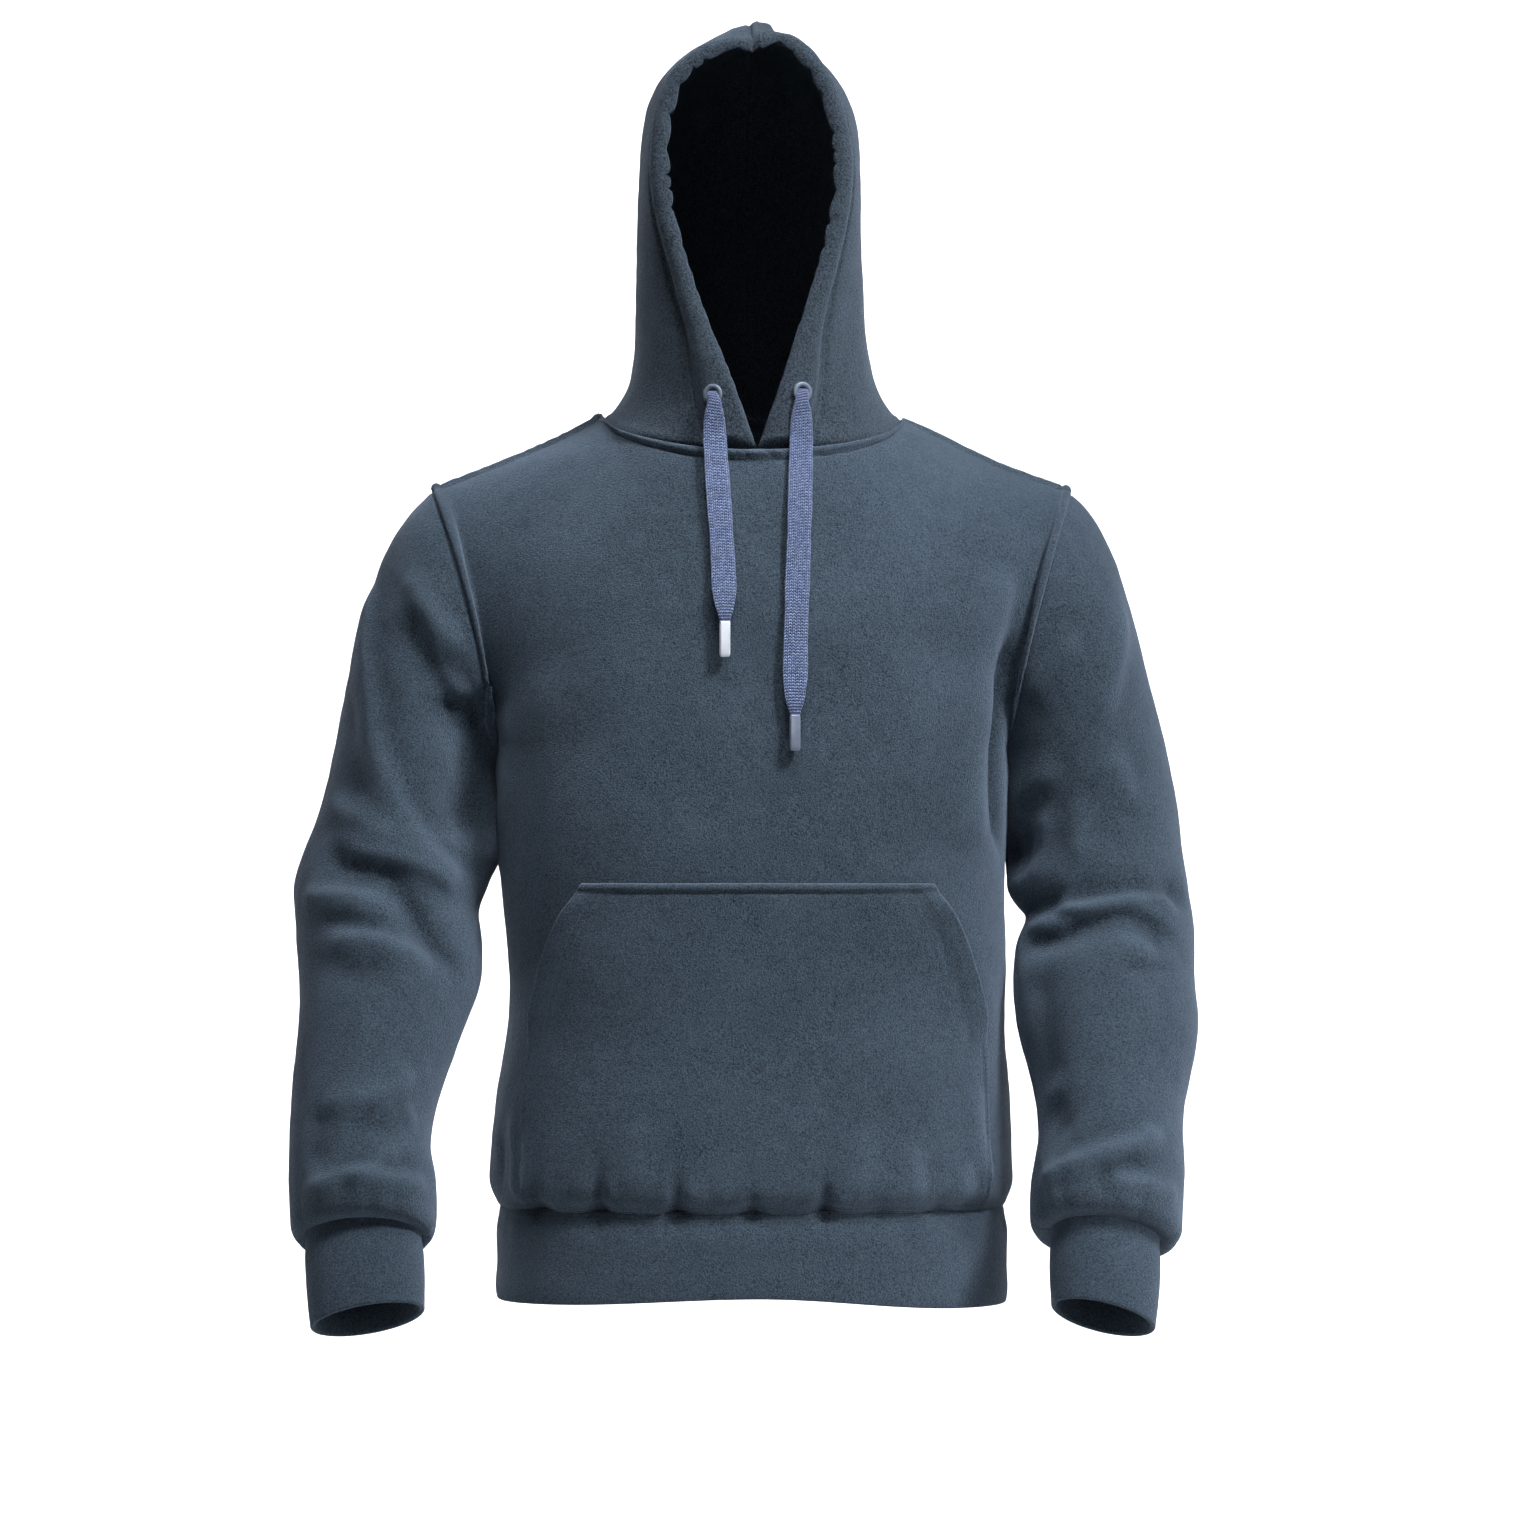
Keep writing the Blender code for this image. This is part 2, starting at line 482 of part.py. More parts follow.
def sleeve_grid(table, side, cuff_half_width, foot):
    """Outer points of a sleeve, from the armhole down to where it meets the cuff."""
    turns = sleeve_turns()
    rows = [ring_points(row_at(table, number), side, turns)
            for number in np.linspace(0, len(table) - 1, SLEEVE_ROWS)]
    front = turns <= math.pi
    rows[0] = np.where(front[:, None], armhole(turns, side, -1), armhole(turns, side, 1))
    last = table[-1]
    low_middle = np.array([side * (foot.outer_x + foot.inner_x) / 2, foot.mid_y,
                           (foot.outer_z + foot.inner_z) / 2])
    middle = rows[-1].mean(axis=0)
    axis = unit(low_middle - middle)
    half_width = (last.outer_x - last.inner_x) / 2
    start = rows[-1] - middle
    narrow = np.array([cuff_half_width / half_width, CUFF_HALF_DEPTH / last.half_depth])
    across = unit(start[0])
    for part in (0.40, 0.72, 1.0):
        angle = part * math.pi / 2
        shrink = narrow + (1 - narrow) * math.cos(angle) ** 0.9
        if part == 1.0:
            shrink = narrow + 3 * GAP / cuff_half_width
        sideways = np.outer(start @ across, across)
        ring = sideways * shrink[0] + (start - sideways) * shrink[1]
        rows.append(middle + ring + axis * BLOUSE_DROP * math.sin(angle))
    return np.array(rows), middle, axis, start, across, narrow


def shift_first_row(grid, side):
    """Move a sleeve's first ring clear of the armhole edge."""
    plane = unit(np.array([side * (SHOULDER_TIP_Z - ARMPIT_Z), 0.0,
                           -(SHOULDER_TIP_X - ARMPIT_X)]))
    low = (1 - np.cos(sleeve_turns())) / 2
    grid[0] = grid[0] + plane * GAP * (1 + 2.5 * low[:, None])


def cuff_grid(side, foot, middle, axis, start, across, narrow):
    """Outer points of a cuff tube from inside the sleeve's roll down to its folded edge."""
    sideways = np.outer(start @ across, across)
    top = sideways * narrow[0] + (start - sideways) * narrow[1]
    turns = sleeve_turns()
    bottom = ring_points(foot, side, turns)
    head = middle + top + axis * (BLOUSE_DROP - CUFF_TUCK)
    rows = []
    for part in (0.0, 0.09, 0.36, 0.68, 0.95, 1.0):
        swell = 1.0 + 0.035 * math.sin(math.pi * min(part, 0.95)) - 0.02 * (part == 1.0)
        row = head * (1 - part) + bottom * part
        centre = row.mean(axis=0)
        if part <= 0.09:
            swell = 1.0
        rows.append(centre + (row - centre) * swell)
    return np.array(rows)


# ------------------------------------------------------------------------------ solids
def material(name, colour, roughness, metallic=0.0):
    """A plain Principled material."""
    made = bpy.data.materials.new(name)
    made.use_nodes = True
    shader = made.node_tree.nodes["Principled BSDF"]
    shader.inputs["Base Color"].default_value = (*colour, 1.0)
    shader.inputs["Roughness"].default_value = roughness
    shader.inputs["Metallic"].default_value = metallic
    return made


def add_solid(name, verts, faces, made):
    """One named object from points and faces."""
    mesh = bpy.data.meshes.new(name)
    mesh.from_pydata([tuple(v) for v in verts], [], faces)
    mesh.materials.append(made)
    mesh.shade_smooth()
    mesh.update()
    thing = bpy.data.objects.new(name, mesh)
    COLLECTION.objects.link(thing)
    return thing


def shell(name, outer, normals, wall, made, closed=False, flip=False):
    """Closed solid: a grid of outer points, its copy moved in by the wall, and the rims."""
    rows, columns = outer.shape[:2]
    wall = np.broadcast_to(np.asarray(wall, float), (rows, columns))
    inner = outer - normals * wall[..., None]
    verts = np.concatenate([outer.reshape(-1, 3), inner.reshape(-1, 3)])
    total = rows * columns
    faces = []
    reach = columns if closed else columns - 1
    for r in range(rows - 1):
        for c in range(reach):
            n = (c + 1) % columns
            a, b = r * columns + c, r * columns + n
            d, e = (r + 1) * columns + c, (r + 1) * columns + n
            faces.append((a, b, e, d))
            faces.append((total + a, total + d, total + e, total + b))
    for c in range(reach):
        n = (c + 1) % columns
        faces.append((c, total + c, total + n, n))
        top = (rows - 1) * columns
        faces.append((top + c, top + n, total + top + n, total + top + c))
    if not closed:
        for r in range(rows - 1):
            a, d = r * columns, (r + 1) * columns
            faces.append((a, d, total + d, total + a))
            a, d = a + columns - 1, d + columns - 1
            faces.append((a, total + a, total + d, d))
    if flip:
        faces = [face[::-1] for face in faces]
    return add_solid(name, verts, faces, made)


def sweep(name, path, sideways, profile, widths, thicknesses, made):
    """Solid of a flat profile carried along a path, closed by a cap at each end."""
    ahead = unit(np.gradient(path, axis=0))
    sideways = unit(sideways - ahead * np.sum(sideways * ahead, axis=1, keepdims=True))
    through = np.cross(ahead, sideways)
    count = len(profile)
    verts = []
    for place, side, up, width, thick in zip(path, sideways, through, widths, thicknesses):
        for u, v in profile:
            verts.append(place + side * (u * width) + up * (v * thick))
    faces = []
    for r in range(len(path) - 1):
        for c in range(count):
            n = (c + 1) % count
            faces.append((r * count + c, r * count + n, (r + 1) * count + n,
                          (r + 1) * count + c))
    faces.append(tuple(range(count))[::-1])
    last = (len(path) - 1) * count
    faces.append(tuple(range(last, last + count)))
    return add_solid(name, verts, faces, made)


def spin(name, centre, axis, outline, count, made, ring=False):
    """Solid turned about an axis from (radius, height) pairs; a ring's outline is closed."""
    axis = unit(np.asarray(axis, float))
    start = unit(np.cross(axis, np.array([0.31, 0.23, 0.92])))
    other = np.cross(axis, start)
    verts = []
    for k in range(count):
        angle = 2 * math.pi * k / count
        spoke = start * math.cos(angle) + other * math.sin(angle)
        for radius, height in outline:
            verts.append(centre + spoke * radius + axis * height)
    steps = len(outline)
    faces = []
    for k in range(count):
        n = (k + 1) % count
        for s in range(steps if ring else steps - 1):
            t = (s + 1) % steps
            faces.append((k * steps + s, n * steps + s, n * steps + t, k * steps + t))
    if not ring:
        faces.append(tuple(k * steps for k in range(count))[::-1])
        faces.append(tuple(k * steps + steps - 1 for k in range(count)))
    return add_solid(name, verts, faces, made)


def tree_of(thing):
    """Search tree of one object's faces."""
    return BVHTree.FromPolygons([v.co.copy() for v in thing.data.vertices],
                                [tuple(p.vertices) for p in thing.data.polygons])


# ------------------------------------------------------------------------------ build
def remove_everything():
    """Start from an empty file."""
    for thing in list(bpy.data.objects):
        bpy.data.objects.remove(thing, do_unlink=True)


def ridge_lift(count_side, count_top, rows, columns):
    """Height of the topstitched ridges beside the armholes, shoulders and neck."""
    lift = np.zeros((rows, columns))
    first = len(SIDE_ROWS) - 1
    lift[first + 1:, :count_side] = RIDGE_HEIGHT
    lift[first + 1:, columns - count_side:] = RIDGE_HEIGHT
    lift[rows - count_top:, :] = RIDGE_HEIGHT
    lift[-1, :] = 0.0
    lift[first:, 0] = 0.0
    lift[first:, -1] = 0.0
    return lift


def main():
    """Build every piece of the garment."""
    fleece = material("fleece", (0.045, 0.066, 0.100), 0.92)
    rib = material("rib_knit", (0.040, 0.058, 0.090), 0.90)
    braid = material("braided_cord", (0.095, 0.125, 0.260), 0.75)
    metal = material("painted_metal", (0.330, 0.380, 0.440), 0.35, 0.7)

    front = body_panel(-1)
    back = body_panel(1)
    front_n = grid_normals(front, False)
    back_n = grid_normals(back, False)
    front = front + front_n * ridge_lift(2, 2, *front.shape[:2])[..., None]
    back = back + back_n * ridge_lift(2, 2, *back.shape[:2])[..., None]

    sleeves = {}
    for name, side, table, foot, width, folds in (
            ("right", -1, SLEEVE_RIGHT, CUFF_FOOT_RIGHT, CUFF_HALF_WIDTH_RIGHT, FOLDS_RIGHT),
            ("left", 1, SLEEVE_LEFT, CUFF_FOOT_LEFT, CUFF_HALF_WIDTH_LEFT, FOLDS_LEFT)):
        grid, middle, axis, start, across, narrow = sleeve_grid(table, side, width, foot)
        normals = grid_normals(grid, True) * side
        lift = fold_lift(grid, normals, folds)
        lift[:1] = 0.0
        lift[SLEEVE_ROWS:] = 0.0
        grid = grid + normals * lift[..., None]
        normals = grid_normals(grid, True) * side
        normals[-1] = axis
        shift_first_row(grid, side)
        cuff = cuff_grid(side, foot, middle, axis, start, across, narrow)
        sleeves[name] = [side, grid, normals, cuff, grid_normals(cuff, True) * side]

    # Mitre: the edges that meet at an armhole share the direction in which their walls go in.
    first = len(SIDE_ROWS) - 1
    steps = len(ARM_ROWS)
    for side, grid, normals, _, _ in sleeves.values():
        edge = 0 if side < 0 else front.shape[1] - 1
        edge_back = back.shape[1] - 1 - edge if side < 0 else 0
        for k in range(steps):
            row = first + steps - 1 - k
            shared = unit(front_n[row, edge] + normals[0, k])
            if k in (0, steps - 1):
                shared = unit(front_n[row, edge] + back_n[row, edge_back] + 2 * normals[0, k])
                shared = unit(shared * np.array([1.0, 0.0, 1.0]))
            front_n[row, edge] = shared
            normals[0, k] = shared
            other = (2 * steps - 2 - k) % (2 * steps - 2)
            if k in (0, steps - 1):
                back_n[row, edge_back] = shared
            else:
                shared = unit(back_n[row, edge_back] + normals[0, other])
                back_n[row, edge_back] = shared
                normals[0, other] = shared

    flat_y = np.array([1.0, 0.0, 1.0])
    flat_z = np.array([1.0, 1.0, 0.0])
    for normals in (front_n, back_n):
        normals[:first, 0] = unit(normals[:first, 0] * flat_y)
        normals[:first, -1] = unit(normals[:first, -1] * flat_y)
        top = normals[-1]
        top[1:SHOULDER_COLUMNS] = unit(top[1:SHOULDER_COLUMNS] * flat_y)
        top[-SHOULDER_COLUMNS:-1] = unit(top[-SHOULDER_COLUMNS:-1] * flat_y)
        normals[0] = unit(normals[0] * flat_z)

    # Hood halves and the mitre along the neck seam.
    hood = hood_half(HOOD_ROWS)
    hood_n = grid_normals(hood, False)
    hood[0, :, 2] += GAP
    hood_n[:, -1] = unit(hood_n[:, -1] * np.array([0.0, 1.0, 1.0]))
    hood_n[-1] = unit(hood_n[-1] * np.array([0.0, 1.0, 1.0]))
    lift = np.zeros(hood.shape[:2])
    wall = np.full(hood.shape[:2], WALL)
    for k, step in enumerate(CASING):
        lift[:, k] = step.lift
        wall[:, k] = step.wall
    lift[0] = 0.0
    lift[-1] *= 0.6
    hood = hood + hood_n * lift[..., None]
    hood[-1, :, 0] = GAP / 2
    hood[:, :, 0] = np.maximum(hood[:, :, 0], GAP / 2)
    centre = front.shape[1] // 2
    neck = FRONT_NECK_COLUMNS
    for k in range(neck + BACK_NECK_COLUMNS + 1):
        if k <= neck:
            own = front_n[-1, centre + k]
        else:
            own = back_n[-1, SHOULDER_COLUMNS + k - neck]
        shared = unit(own + hood_n[0, k])
        if k in (0, neck + BACK_NECK_COLUMNS):
            shared = unit(shared * np.array([0.0, 1.0, 1.0]))
        hood_n[0, k] = shared
        mirrored = shared * np.array([-1.0, 1.0, 1.0])
        if k <= neck:
            front_n[-1, centre + k] = shared
            front_n[-1, centre - k] = mirrored
        if k >= neck:
            place = SHOULDER_COLUMNS + k - neck
            back_n[-1, place] = shared
            back_n[-1, back.shape[1] - 1 - place] = mirrored

    shell("front_panel", front, front_n, WALL, fleece)
    shell("back_panel", back, back_n, WALL, fleece)
    for name, (side, grid, normals, cuff, cuff_n) in sleeves.items():
        shell(f"sleeve_{name}", grid, normals, WALL, fleece, True, side < 0)
        shell(f"cuff_{name}", cuff, cuff_n, RIB_WALL, rib, True, side < 0)
    hood_left = shell("hood_left", hood, hood_n, wall, fleece)
    mirror = np.array([-1.0, 1.0, 1.0])
    hood_right = shell("hood_right", hood * mirror, hood_n * mirror, wall, fleece, flip=True)

    # Hem band, below the whole lower edge of the body.
    around = np.concatenate([front[0], back[0, 1:-1]])
    band = []
    for level in HEM_BAND:
        row = around.copy()
        row[:, 0] *= level.spread
        row[:, 1] = SIDE_Y + (row[:, 1] - SIDE_Y) * level.spread
        row[:, 2] = level.height
        band.append(row)
    band = np.array(band)
    band_n = grid_normals(band, True)
    band_n[0] = unit(band_n[0] * flat_z)
    band = band[::-1]
    band_n = band_n[::-1]
    shell("hem_band", band, -band_n, RIB_WALL, rib, True)

    # Kangaroo pocket: the same points as the front, moved out.
    low, high = SHOULDER_COLUMNS, front.shape[1] - SHOULDER_COLUMNS
    pocket = front[:POCKET_ROWS, low:high].copy()
    pocket_n = front_n[:POCKET_ROWS, low:high].copy()
    out = np.full(pocket.shape[:2], GAP + WALL)
    heights = pocket[:, 0, 2]
    mouth = np.clip((heights - POCKET_MOUTH_LOW) / 0.03, 0, 1)
    mouth *= np.clip((SIDE_ROWS[POCKET_ROWS - 1] + 0.012 - heights) / 0.02, 0, 1)
    for edge, share in ((0, 1.0), (1, 0.35), (-1, 1.0), (-2, 0.35)):
        out[:, edge] += POCKET_MOUTH_LIFT * share * mouth
    shell("pocket", pocket + pocket_n * out[..., None], pocket_n, WALL, fleece)

    for cord in CORDS:
        hang_cord(cord, hood_left if cord.side > 0 else hood_right, braid, metal)


def hang_cord(cord, hood, braid, metal):
    """One eyelet, the free end of cord that leaves it, and the tip on that end."""
    numbers = np.linspace(0, len(HOOD) - 1, 200)
    heights = np.array([row_at(HOOD, number).face_z for number in numbers])
    level = row_at(HOOD, float(np.interp(cord.eyelet_height, heights, numbers)))
    place = walk(hood_halves(level)[0], [EYELET_ACROSS])[0]
    hit, normal = tree_of(hood).ray_cast(Vector((cord.side * place[0], -1.0, place[2])),
                                         Vector((0.0, 1.0, 0.0)))[:2]
    normal = np.array(normal)
    outline = [(EYELET_INNER, 0.0), (EYELET_OUTER, 0.0),
               (EYELET_OUTER * 0.86, EYELET_HEIGHT), (EYELET_INNER * 1.3, EYELET_HEIGHT),
               (EYELET_INNER, 0.5 * EYELET_HEIGHT)]
    spin(f"eyelet_{cord.name}", np.array(hit) + normal * EYELET_SEAT, normal, outline, 16, metal,
         True)

    path = np.array(cord.route)
    travelled = lengths(path)
    total = travelled[-1]
    widths = np.interp(travelled, [0, 0.007, 0.030, 0.048, total - 0.028, total - 0.012, total],
                       [0.0056, 0.0070, 0.0155, CORD_WIDTH, CORD_WIDTH, 0.0130, 0.0060])
    thick = np.interp(travelled, [0, 0.007, 0.030], [0.0040, 0.0040, CORD_THICKNESS])
    profile = [(-0.50, 0.0), (-0.40, -0.5), (0.40, -0.5), (0.50, 0.0), (0.40, 0.5), (-0.40, 0.5)]
    sweep(f"drawcord_{cord.name}", path, np.tile([1.0, 0.0, 0.0], (len(path), 1)), profile,
          widths, thick, braid)
    spin(f"tip_{cord.name}", path[-1] - np.array([0.0, 0.0, GAP]), (0, 0, -1),
         [(TIP_RADIUS * 0.72, 0.0), (TIP_RADIUS, 0.002), (TIP_RADIUS, TIP_LENGTH - 0.003),
          (TIP_RADIUS * 0.70, TIP_LENGTH)], 12, metal)


remove_everything()
COLLECTION = bpy.data.collections.new("pullover_hoodie")
bpy.context.scene.collection.children.link(COLLECTION)
main()
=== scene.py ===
# %% [markdown]
# # A pullover hoodie in its worn form
# The hoodie keeps the shape of the person who wears it: hood up, sleeves hanging, empty inside.
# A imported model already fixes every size. This lesson dresses it: thin shells of cloth with
# their seams and folds, a braided drawcord, stitches, metal parts, and the finishes.

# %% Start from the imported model
import math
from collections import namedtuple

import bpy
import numpy as np
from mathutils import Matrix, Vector
from mathutils.bvhtree import BVHTree
from mathutils.kdtree import KDTree


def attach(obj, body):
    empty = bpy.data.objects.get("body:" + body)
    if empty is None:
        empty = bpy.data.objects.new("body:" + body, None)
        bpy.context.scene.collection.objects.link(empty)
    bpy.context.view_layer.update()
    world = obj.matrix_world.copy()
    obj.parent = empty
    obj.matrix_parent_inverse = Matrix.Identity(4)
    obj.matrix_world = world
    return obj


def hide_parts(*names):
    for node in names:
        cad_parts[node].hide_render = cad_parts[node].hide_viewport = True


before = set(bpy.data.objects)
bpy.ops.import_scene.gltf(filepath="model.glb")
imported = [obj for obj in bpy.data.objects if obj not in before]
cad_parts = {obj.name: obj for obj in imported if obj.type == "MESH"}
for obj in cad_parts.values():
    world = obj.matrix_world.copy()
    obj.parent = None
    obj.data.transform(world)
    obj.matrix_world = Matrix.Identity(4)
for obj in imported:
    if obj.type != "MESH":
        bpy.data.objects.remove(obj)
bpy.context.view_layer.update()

# %% [markdown]
# ## Camera
# A long lens from three metres keeps the garment free of distortion, as a shop's studio does.
# The camera stands a little to the wearer's right, at elbow height, and looks slightly up.

# %% Camera
CAMERA_DISTANCE = 3.2
CAMERA_HEIGHT = -0.38
CAMERA_SIDESTEP = 0.01256
CAMERA_YAW = math.radians(2.5)
CAMERA_RISE = 0.0328        # upward slope of the line of sight
LENS_MM = 95.5


def add_object(name, data):
    """A new object in the scene, at the origin."""
    made = bpy.data.objects.new(name, data)
    bpy.context.scene.collection.objects.link(made)
    return made


ahead = Vector((math.sin(CAMERA_YAW), math.cos(CAMERA_YAW), 0.0))
beside = Vector((math.cos(CAMERA_YAW), -math.sin(CAMERA_YAW), 0.0))
camera_data = bpy.data.cameras.new("camera")
camera_data.lens = LENS_MM
camera = add_object("camera", camera_data)
camera.location = beside * CAMERA_SIDESTEP - ahead * CAMERA_DISTANCE
camera.location.z = CAMERA_HEIGHT
sight = ahead + Vector((0.0, 0.0, CAMERA_RISE))
camera.rotation_euler = sight.to_track_quat("-Z", "Y").to_euler()
bpy.context.scene.camera = camera
print("camera at", [round(v, 3) for v in camera.location])

# %% [markdown]
# ## Small tools for curves and grids
# Cloth is easiest to shape as a grid of points: rows run along a piece, columns run across it.
# These few functions measure and resample curves, and find which way a grid faces. numpy does
# the arithmetic for a whole grid at once, which a Python loop over vertices could not do in time.


# %% Curves and grids
def unit(vectors):
    """Vectors of length one."""
    return vectors / np.maximum(np.linalg.norm(vectors, axis=-1, keepdims=True), 1e-12)


def ease(part):
    """Smooth step between nought and one."""
    part = np.clip(part, 0.0, 1.0)
    return part * part * (3 - 2 * part)


def hill(where, middle, width, power=2):
    """A soft hill of height one about a middle, fading over its width."""
    return np.exp(-((where - middle) / width) ** power)


def smooth(places, values, where):
    """Smooth curve through (places, values), read at where."""
    places = np.asarray(places, float)
    values = np.asarray(values, float)
    slopes = np.gradient(values, places)
    where = np.clip(np.asarray(where, float), places[0], places[-1])
    index = np.clip(np.searchsorted(places, where, side="right") - 1, 0, len(places) - 2)
    span = places[index + 1] - places[index]
    part = (where - places[index]) / span
    return ((2 * part ** 3 - 3 * part ** 2 + 1) * values[index]
            + (part ** 3 - 2 * part ** 2 + part) * span * slopes[index]
            + (3 * part ** 2 - 2 * part ** 3) * values[index + 1]
            + (part ** 3 - part ** 2) * span * slopes[index + 1])


def column(table, name, where):
    """One named column of a table of levels, read smoothly at the given heights."""
    return smooth([row.height for row in table], [getattr(row, name) for row in table], where)


def row_at(table, where):
    """A whole table row at a fractional row number."""
    numbers = np.arange(len(table))
    return type(table[0])(*(float(smooth(numbers, [row[i] for row in table], where))
                            for i in range(len(table[0]))))


def lengths(points):
    """Distance travelled along a polyline at each of its points."""
    steps = np.linalg.norm(np.diff(points, axis=0), axis=1)
    return np.concatenate([[0.0], np.cumsum(steps)])


def walk(points, distances):
    """Points at the given distances along a polyline."""
    travelled = lengths(points)
    return np.stack([np.interp(distances, travelled, points[:, axis])
                     for axis in range(points.shape[1])], axis=1)


def fine_curve(points, step):
    """A smooth curve through the points, with a point about every step."""
    points = np.asarray(points, float)
    travelled = lengths(points)
    where = np.linspace(0.0, travelled[-1], max(8, int(travelled[-1] / step)))
    return np.stack([smooth(travelled, points[:, axis], where)
                     for axis in range(points.shape[1])], axis=1)


def bezier(start, leave, arrive, end, count=60):
    """Cubic curve from start to end."""
    part = np.linspace(0.0, 1.0, count)[:, None]
    return ((1 - part) ** 3 * start + 3 * (1 - part) ** 2 * part * leave
            + 3 * (1 - part) * part ** 2 * arrive + part ** 3 * end)


def grid_normals(grid, closed):
    """The way a grid faces, where columns run to the right of its rows seen from outside."""
    along = np.gradient(grid, axis=0)
    if closed:
        across = (np.roll(grid, -1, axis=1) - np.roll(grid, 1, axis=1)) / 2
    else:
        across = np.gradient(grid, axis=1)
    return unit(np.cross(across, along))


def new_object(name, points, faces):
    """One named mesh object from points and faces, smoothly shaded."""
    mesh = bpy.data.meshes.new(name)
    mesh.from_pydata([tuple(point) for point in points], [], faces)
    mesh.shade_smooth()
    mesh.update()
    return add_object(name, mesh)


# %% [markdown]
# ## One helper for every node
# Stitches, braid and finishes are all made by node trees. A tree reads best when each node is
# one call that names its settings and what goes into it, so two helpers do that for every tree.


# %% Nodes and sockets
def feed(tree, made, inputs):
    """Fill a node's inputs, by name or place: sockets are linked, values are set."""
    for place, value in inputs.items():
        if isinstance(value, bpy.types.NodeSocket):
            tree.links.new(value, made.inputs[place])
        else:
            made.inputs[place].default_value = value


def node(tree, kind, inputs=None, **settings):
    """One node with its settings and inputs."""
    made = tree.nodes.new(kind)
    for key, value in settings.items():
        setattr(made, key, value)
    feed(tree, made, inputs or {})
    return made


def add_sockets(tree, way, kind, **named):
    """Named sockets on the face of a tree, each with its default where it has one."""
    for name, value in named.items():
        socket = tree.interface.new_socket(name.replace("_", " "), in_out=way,
                                           socket_type="NodeSocket" + kind)
        if value is not None:
            socket.default_value = value


# %% [markdown]
# ## Stitches and braid: one Geometry Nodes tree
# A row of stitches and a strand of braid are the same thing: small beans of thread, laid one
# after another along a line. A node tree does it: it turns a line into evenly spaced points,
# and puts a bean on each, turned to follow the line and the cloth. Its inputs set the sizes.


# %% The tree that lays thread along lines
def bean_tree():
    """Geometry Nodes tree that lays beans of thread along polylines."""
    tree = bpy.data.node_groups.new("thread_along_lines", "GeometryNodeTree")
    add_sockets(tree, "INPUT", "Geometry", Lines=None)
    add_sockets(tree, "INPUT", "Float", Pitch=0.0034, Length=0.0028, Width=0.0007,
                Height=0.0006, Lift=0.0, Wander=0.1)
    add_sockets(tree, "INPUT", "Int", Seed=7)
    add_sockets(tree, "INPUT", "Material", Thread=None)
    add_sockets(tree, "OUTPUT", "Geometry", Beans=None)
    given = tree.nodes.new("NodeGroupInput").outputs

    def attribute(name, kind="FLOAT"):
        return node(tree, "GeometryNodeInputNamedAttribute", {"Name": name},
                    data_type=kind).outputs["Attribute"]

    # even points along each line
    curve = node(tree, "GeometryNodeMeshToCurve", {"Mesh": given["Lines"]})
    spaced = node(tree, "GeometryNodeResampleCurve",
                  {"Curve": curve.outputs["Curve"], "Length": given["Pitch"]}, mode="LENGTH")

    # each bean lies along the line, faces outwards, and leans by its lean and a little chance
    tangent = node(tree, "GeometryNodeInputTangent").outputs["Tangent"]
    turn = node(tree, "FunctionNodeAxesToRotation",
                {"Primary Axis": tangent, "Secondary Axis": attribute("outward", "FLOAT_VECTOR")},
                primary_axis="X", secondary_axis="Z")
    chance = node(tree, "FunctionNodeRandomValue", {2: -1.0, 3: 1.0, "Seed": given["Seed"]},
                  data_type="FLOAT")
    stray = node(tree, "ShaderNodeMath",
                 {0: chance.outputs[1], 1: given["Wander"], 2: attribute("lean")},
                 operation="MULTIPLY_ADD")
    lean = node(tree, "FunctionNodeAxisAngleToRotation",
                {"Axis": (0.0, 0.0, 1.0), "Angle": stray.outputs[0]})
    turned = node(tree, "FunctionNodeRotateRotation",
                  {"Rotation": turn.outputs["Rotation"], "Rotate By": lean.outputs["Rotation"]},
                  rotation_space="LOCAL")

    # the bean itself, a sphere of a few faces stretched to length, width and height
    size = node(tree, "ShaderNodeCombineXYZ",
                {"X": given["Length"], "Y": given["Width"], "Z": given["Height"]})
    scaled = node(tree, "ShaderNodeVectorMath", {0: size.outputs[0], "Scale": attribute("size")},
                  operation="SCALE")
    bean = node(tree, "GeometryNodeMeshUVSphere", {"Segments": 6, "Rings": 4, "Radius": 0.5})
    soft = node(tree, "GeometryNodeSetShadeSmooth", {"Geometry": bean.outputs["Mesh"]})
    laid = node(tree, "GeometryNodeInstanceOnPoints",
                {"Points": spaced.outputs["Curve"], "Instance": soft.outputs["Geometry"],
                 "Rotation": turned.outputs["Rotation"], "Scale": scaled.outputs["Vector"]})
    rise = node(tree, "ShaderNodeCombineXYZ", {"Z": given["Lift"]})
    raised = node(tree, "GeometryNodeTranslateInstances",
                  {"Instances": laid.outputs["Instances"], "Translation": rise.outputs[0]})

    # a chance value on each bean, for its colour, and then one real mesh with its material
    fleck = node(tree, "FunctionNodeRandomValue", {"Seed": given["Seed"]}, data_type="FLOAT")
    marked = node(tree, "GeometryNodeStoreNamedAttribute",
                  {"Name": "fleck", "Geometry": raised.outputs["Instances"],
                   "Value": fleck.outputs[1]}, data_type="FLOAT", domain="INSTANCE")
    whole = node(tree, "GeometryNodeRealizeInstances", {"Geometry": marked.outputs["Geometry"]})
    painted = node(tree, "GeometryNodeSetMaterial",
                   {"Geometry": whole.outputs["Geometry"], "Material": given["Thread"]})
    node(tree, "NodeGroupOutput", {"Beans": painted.outputs["Geometry"]})
    return tree


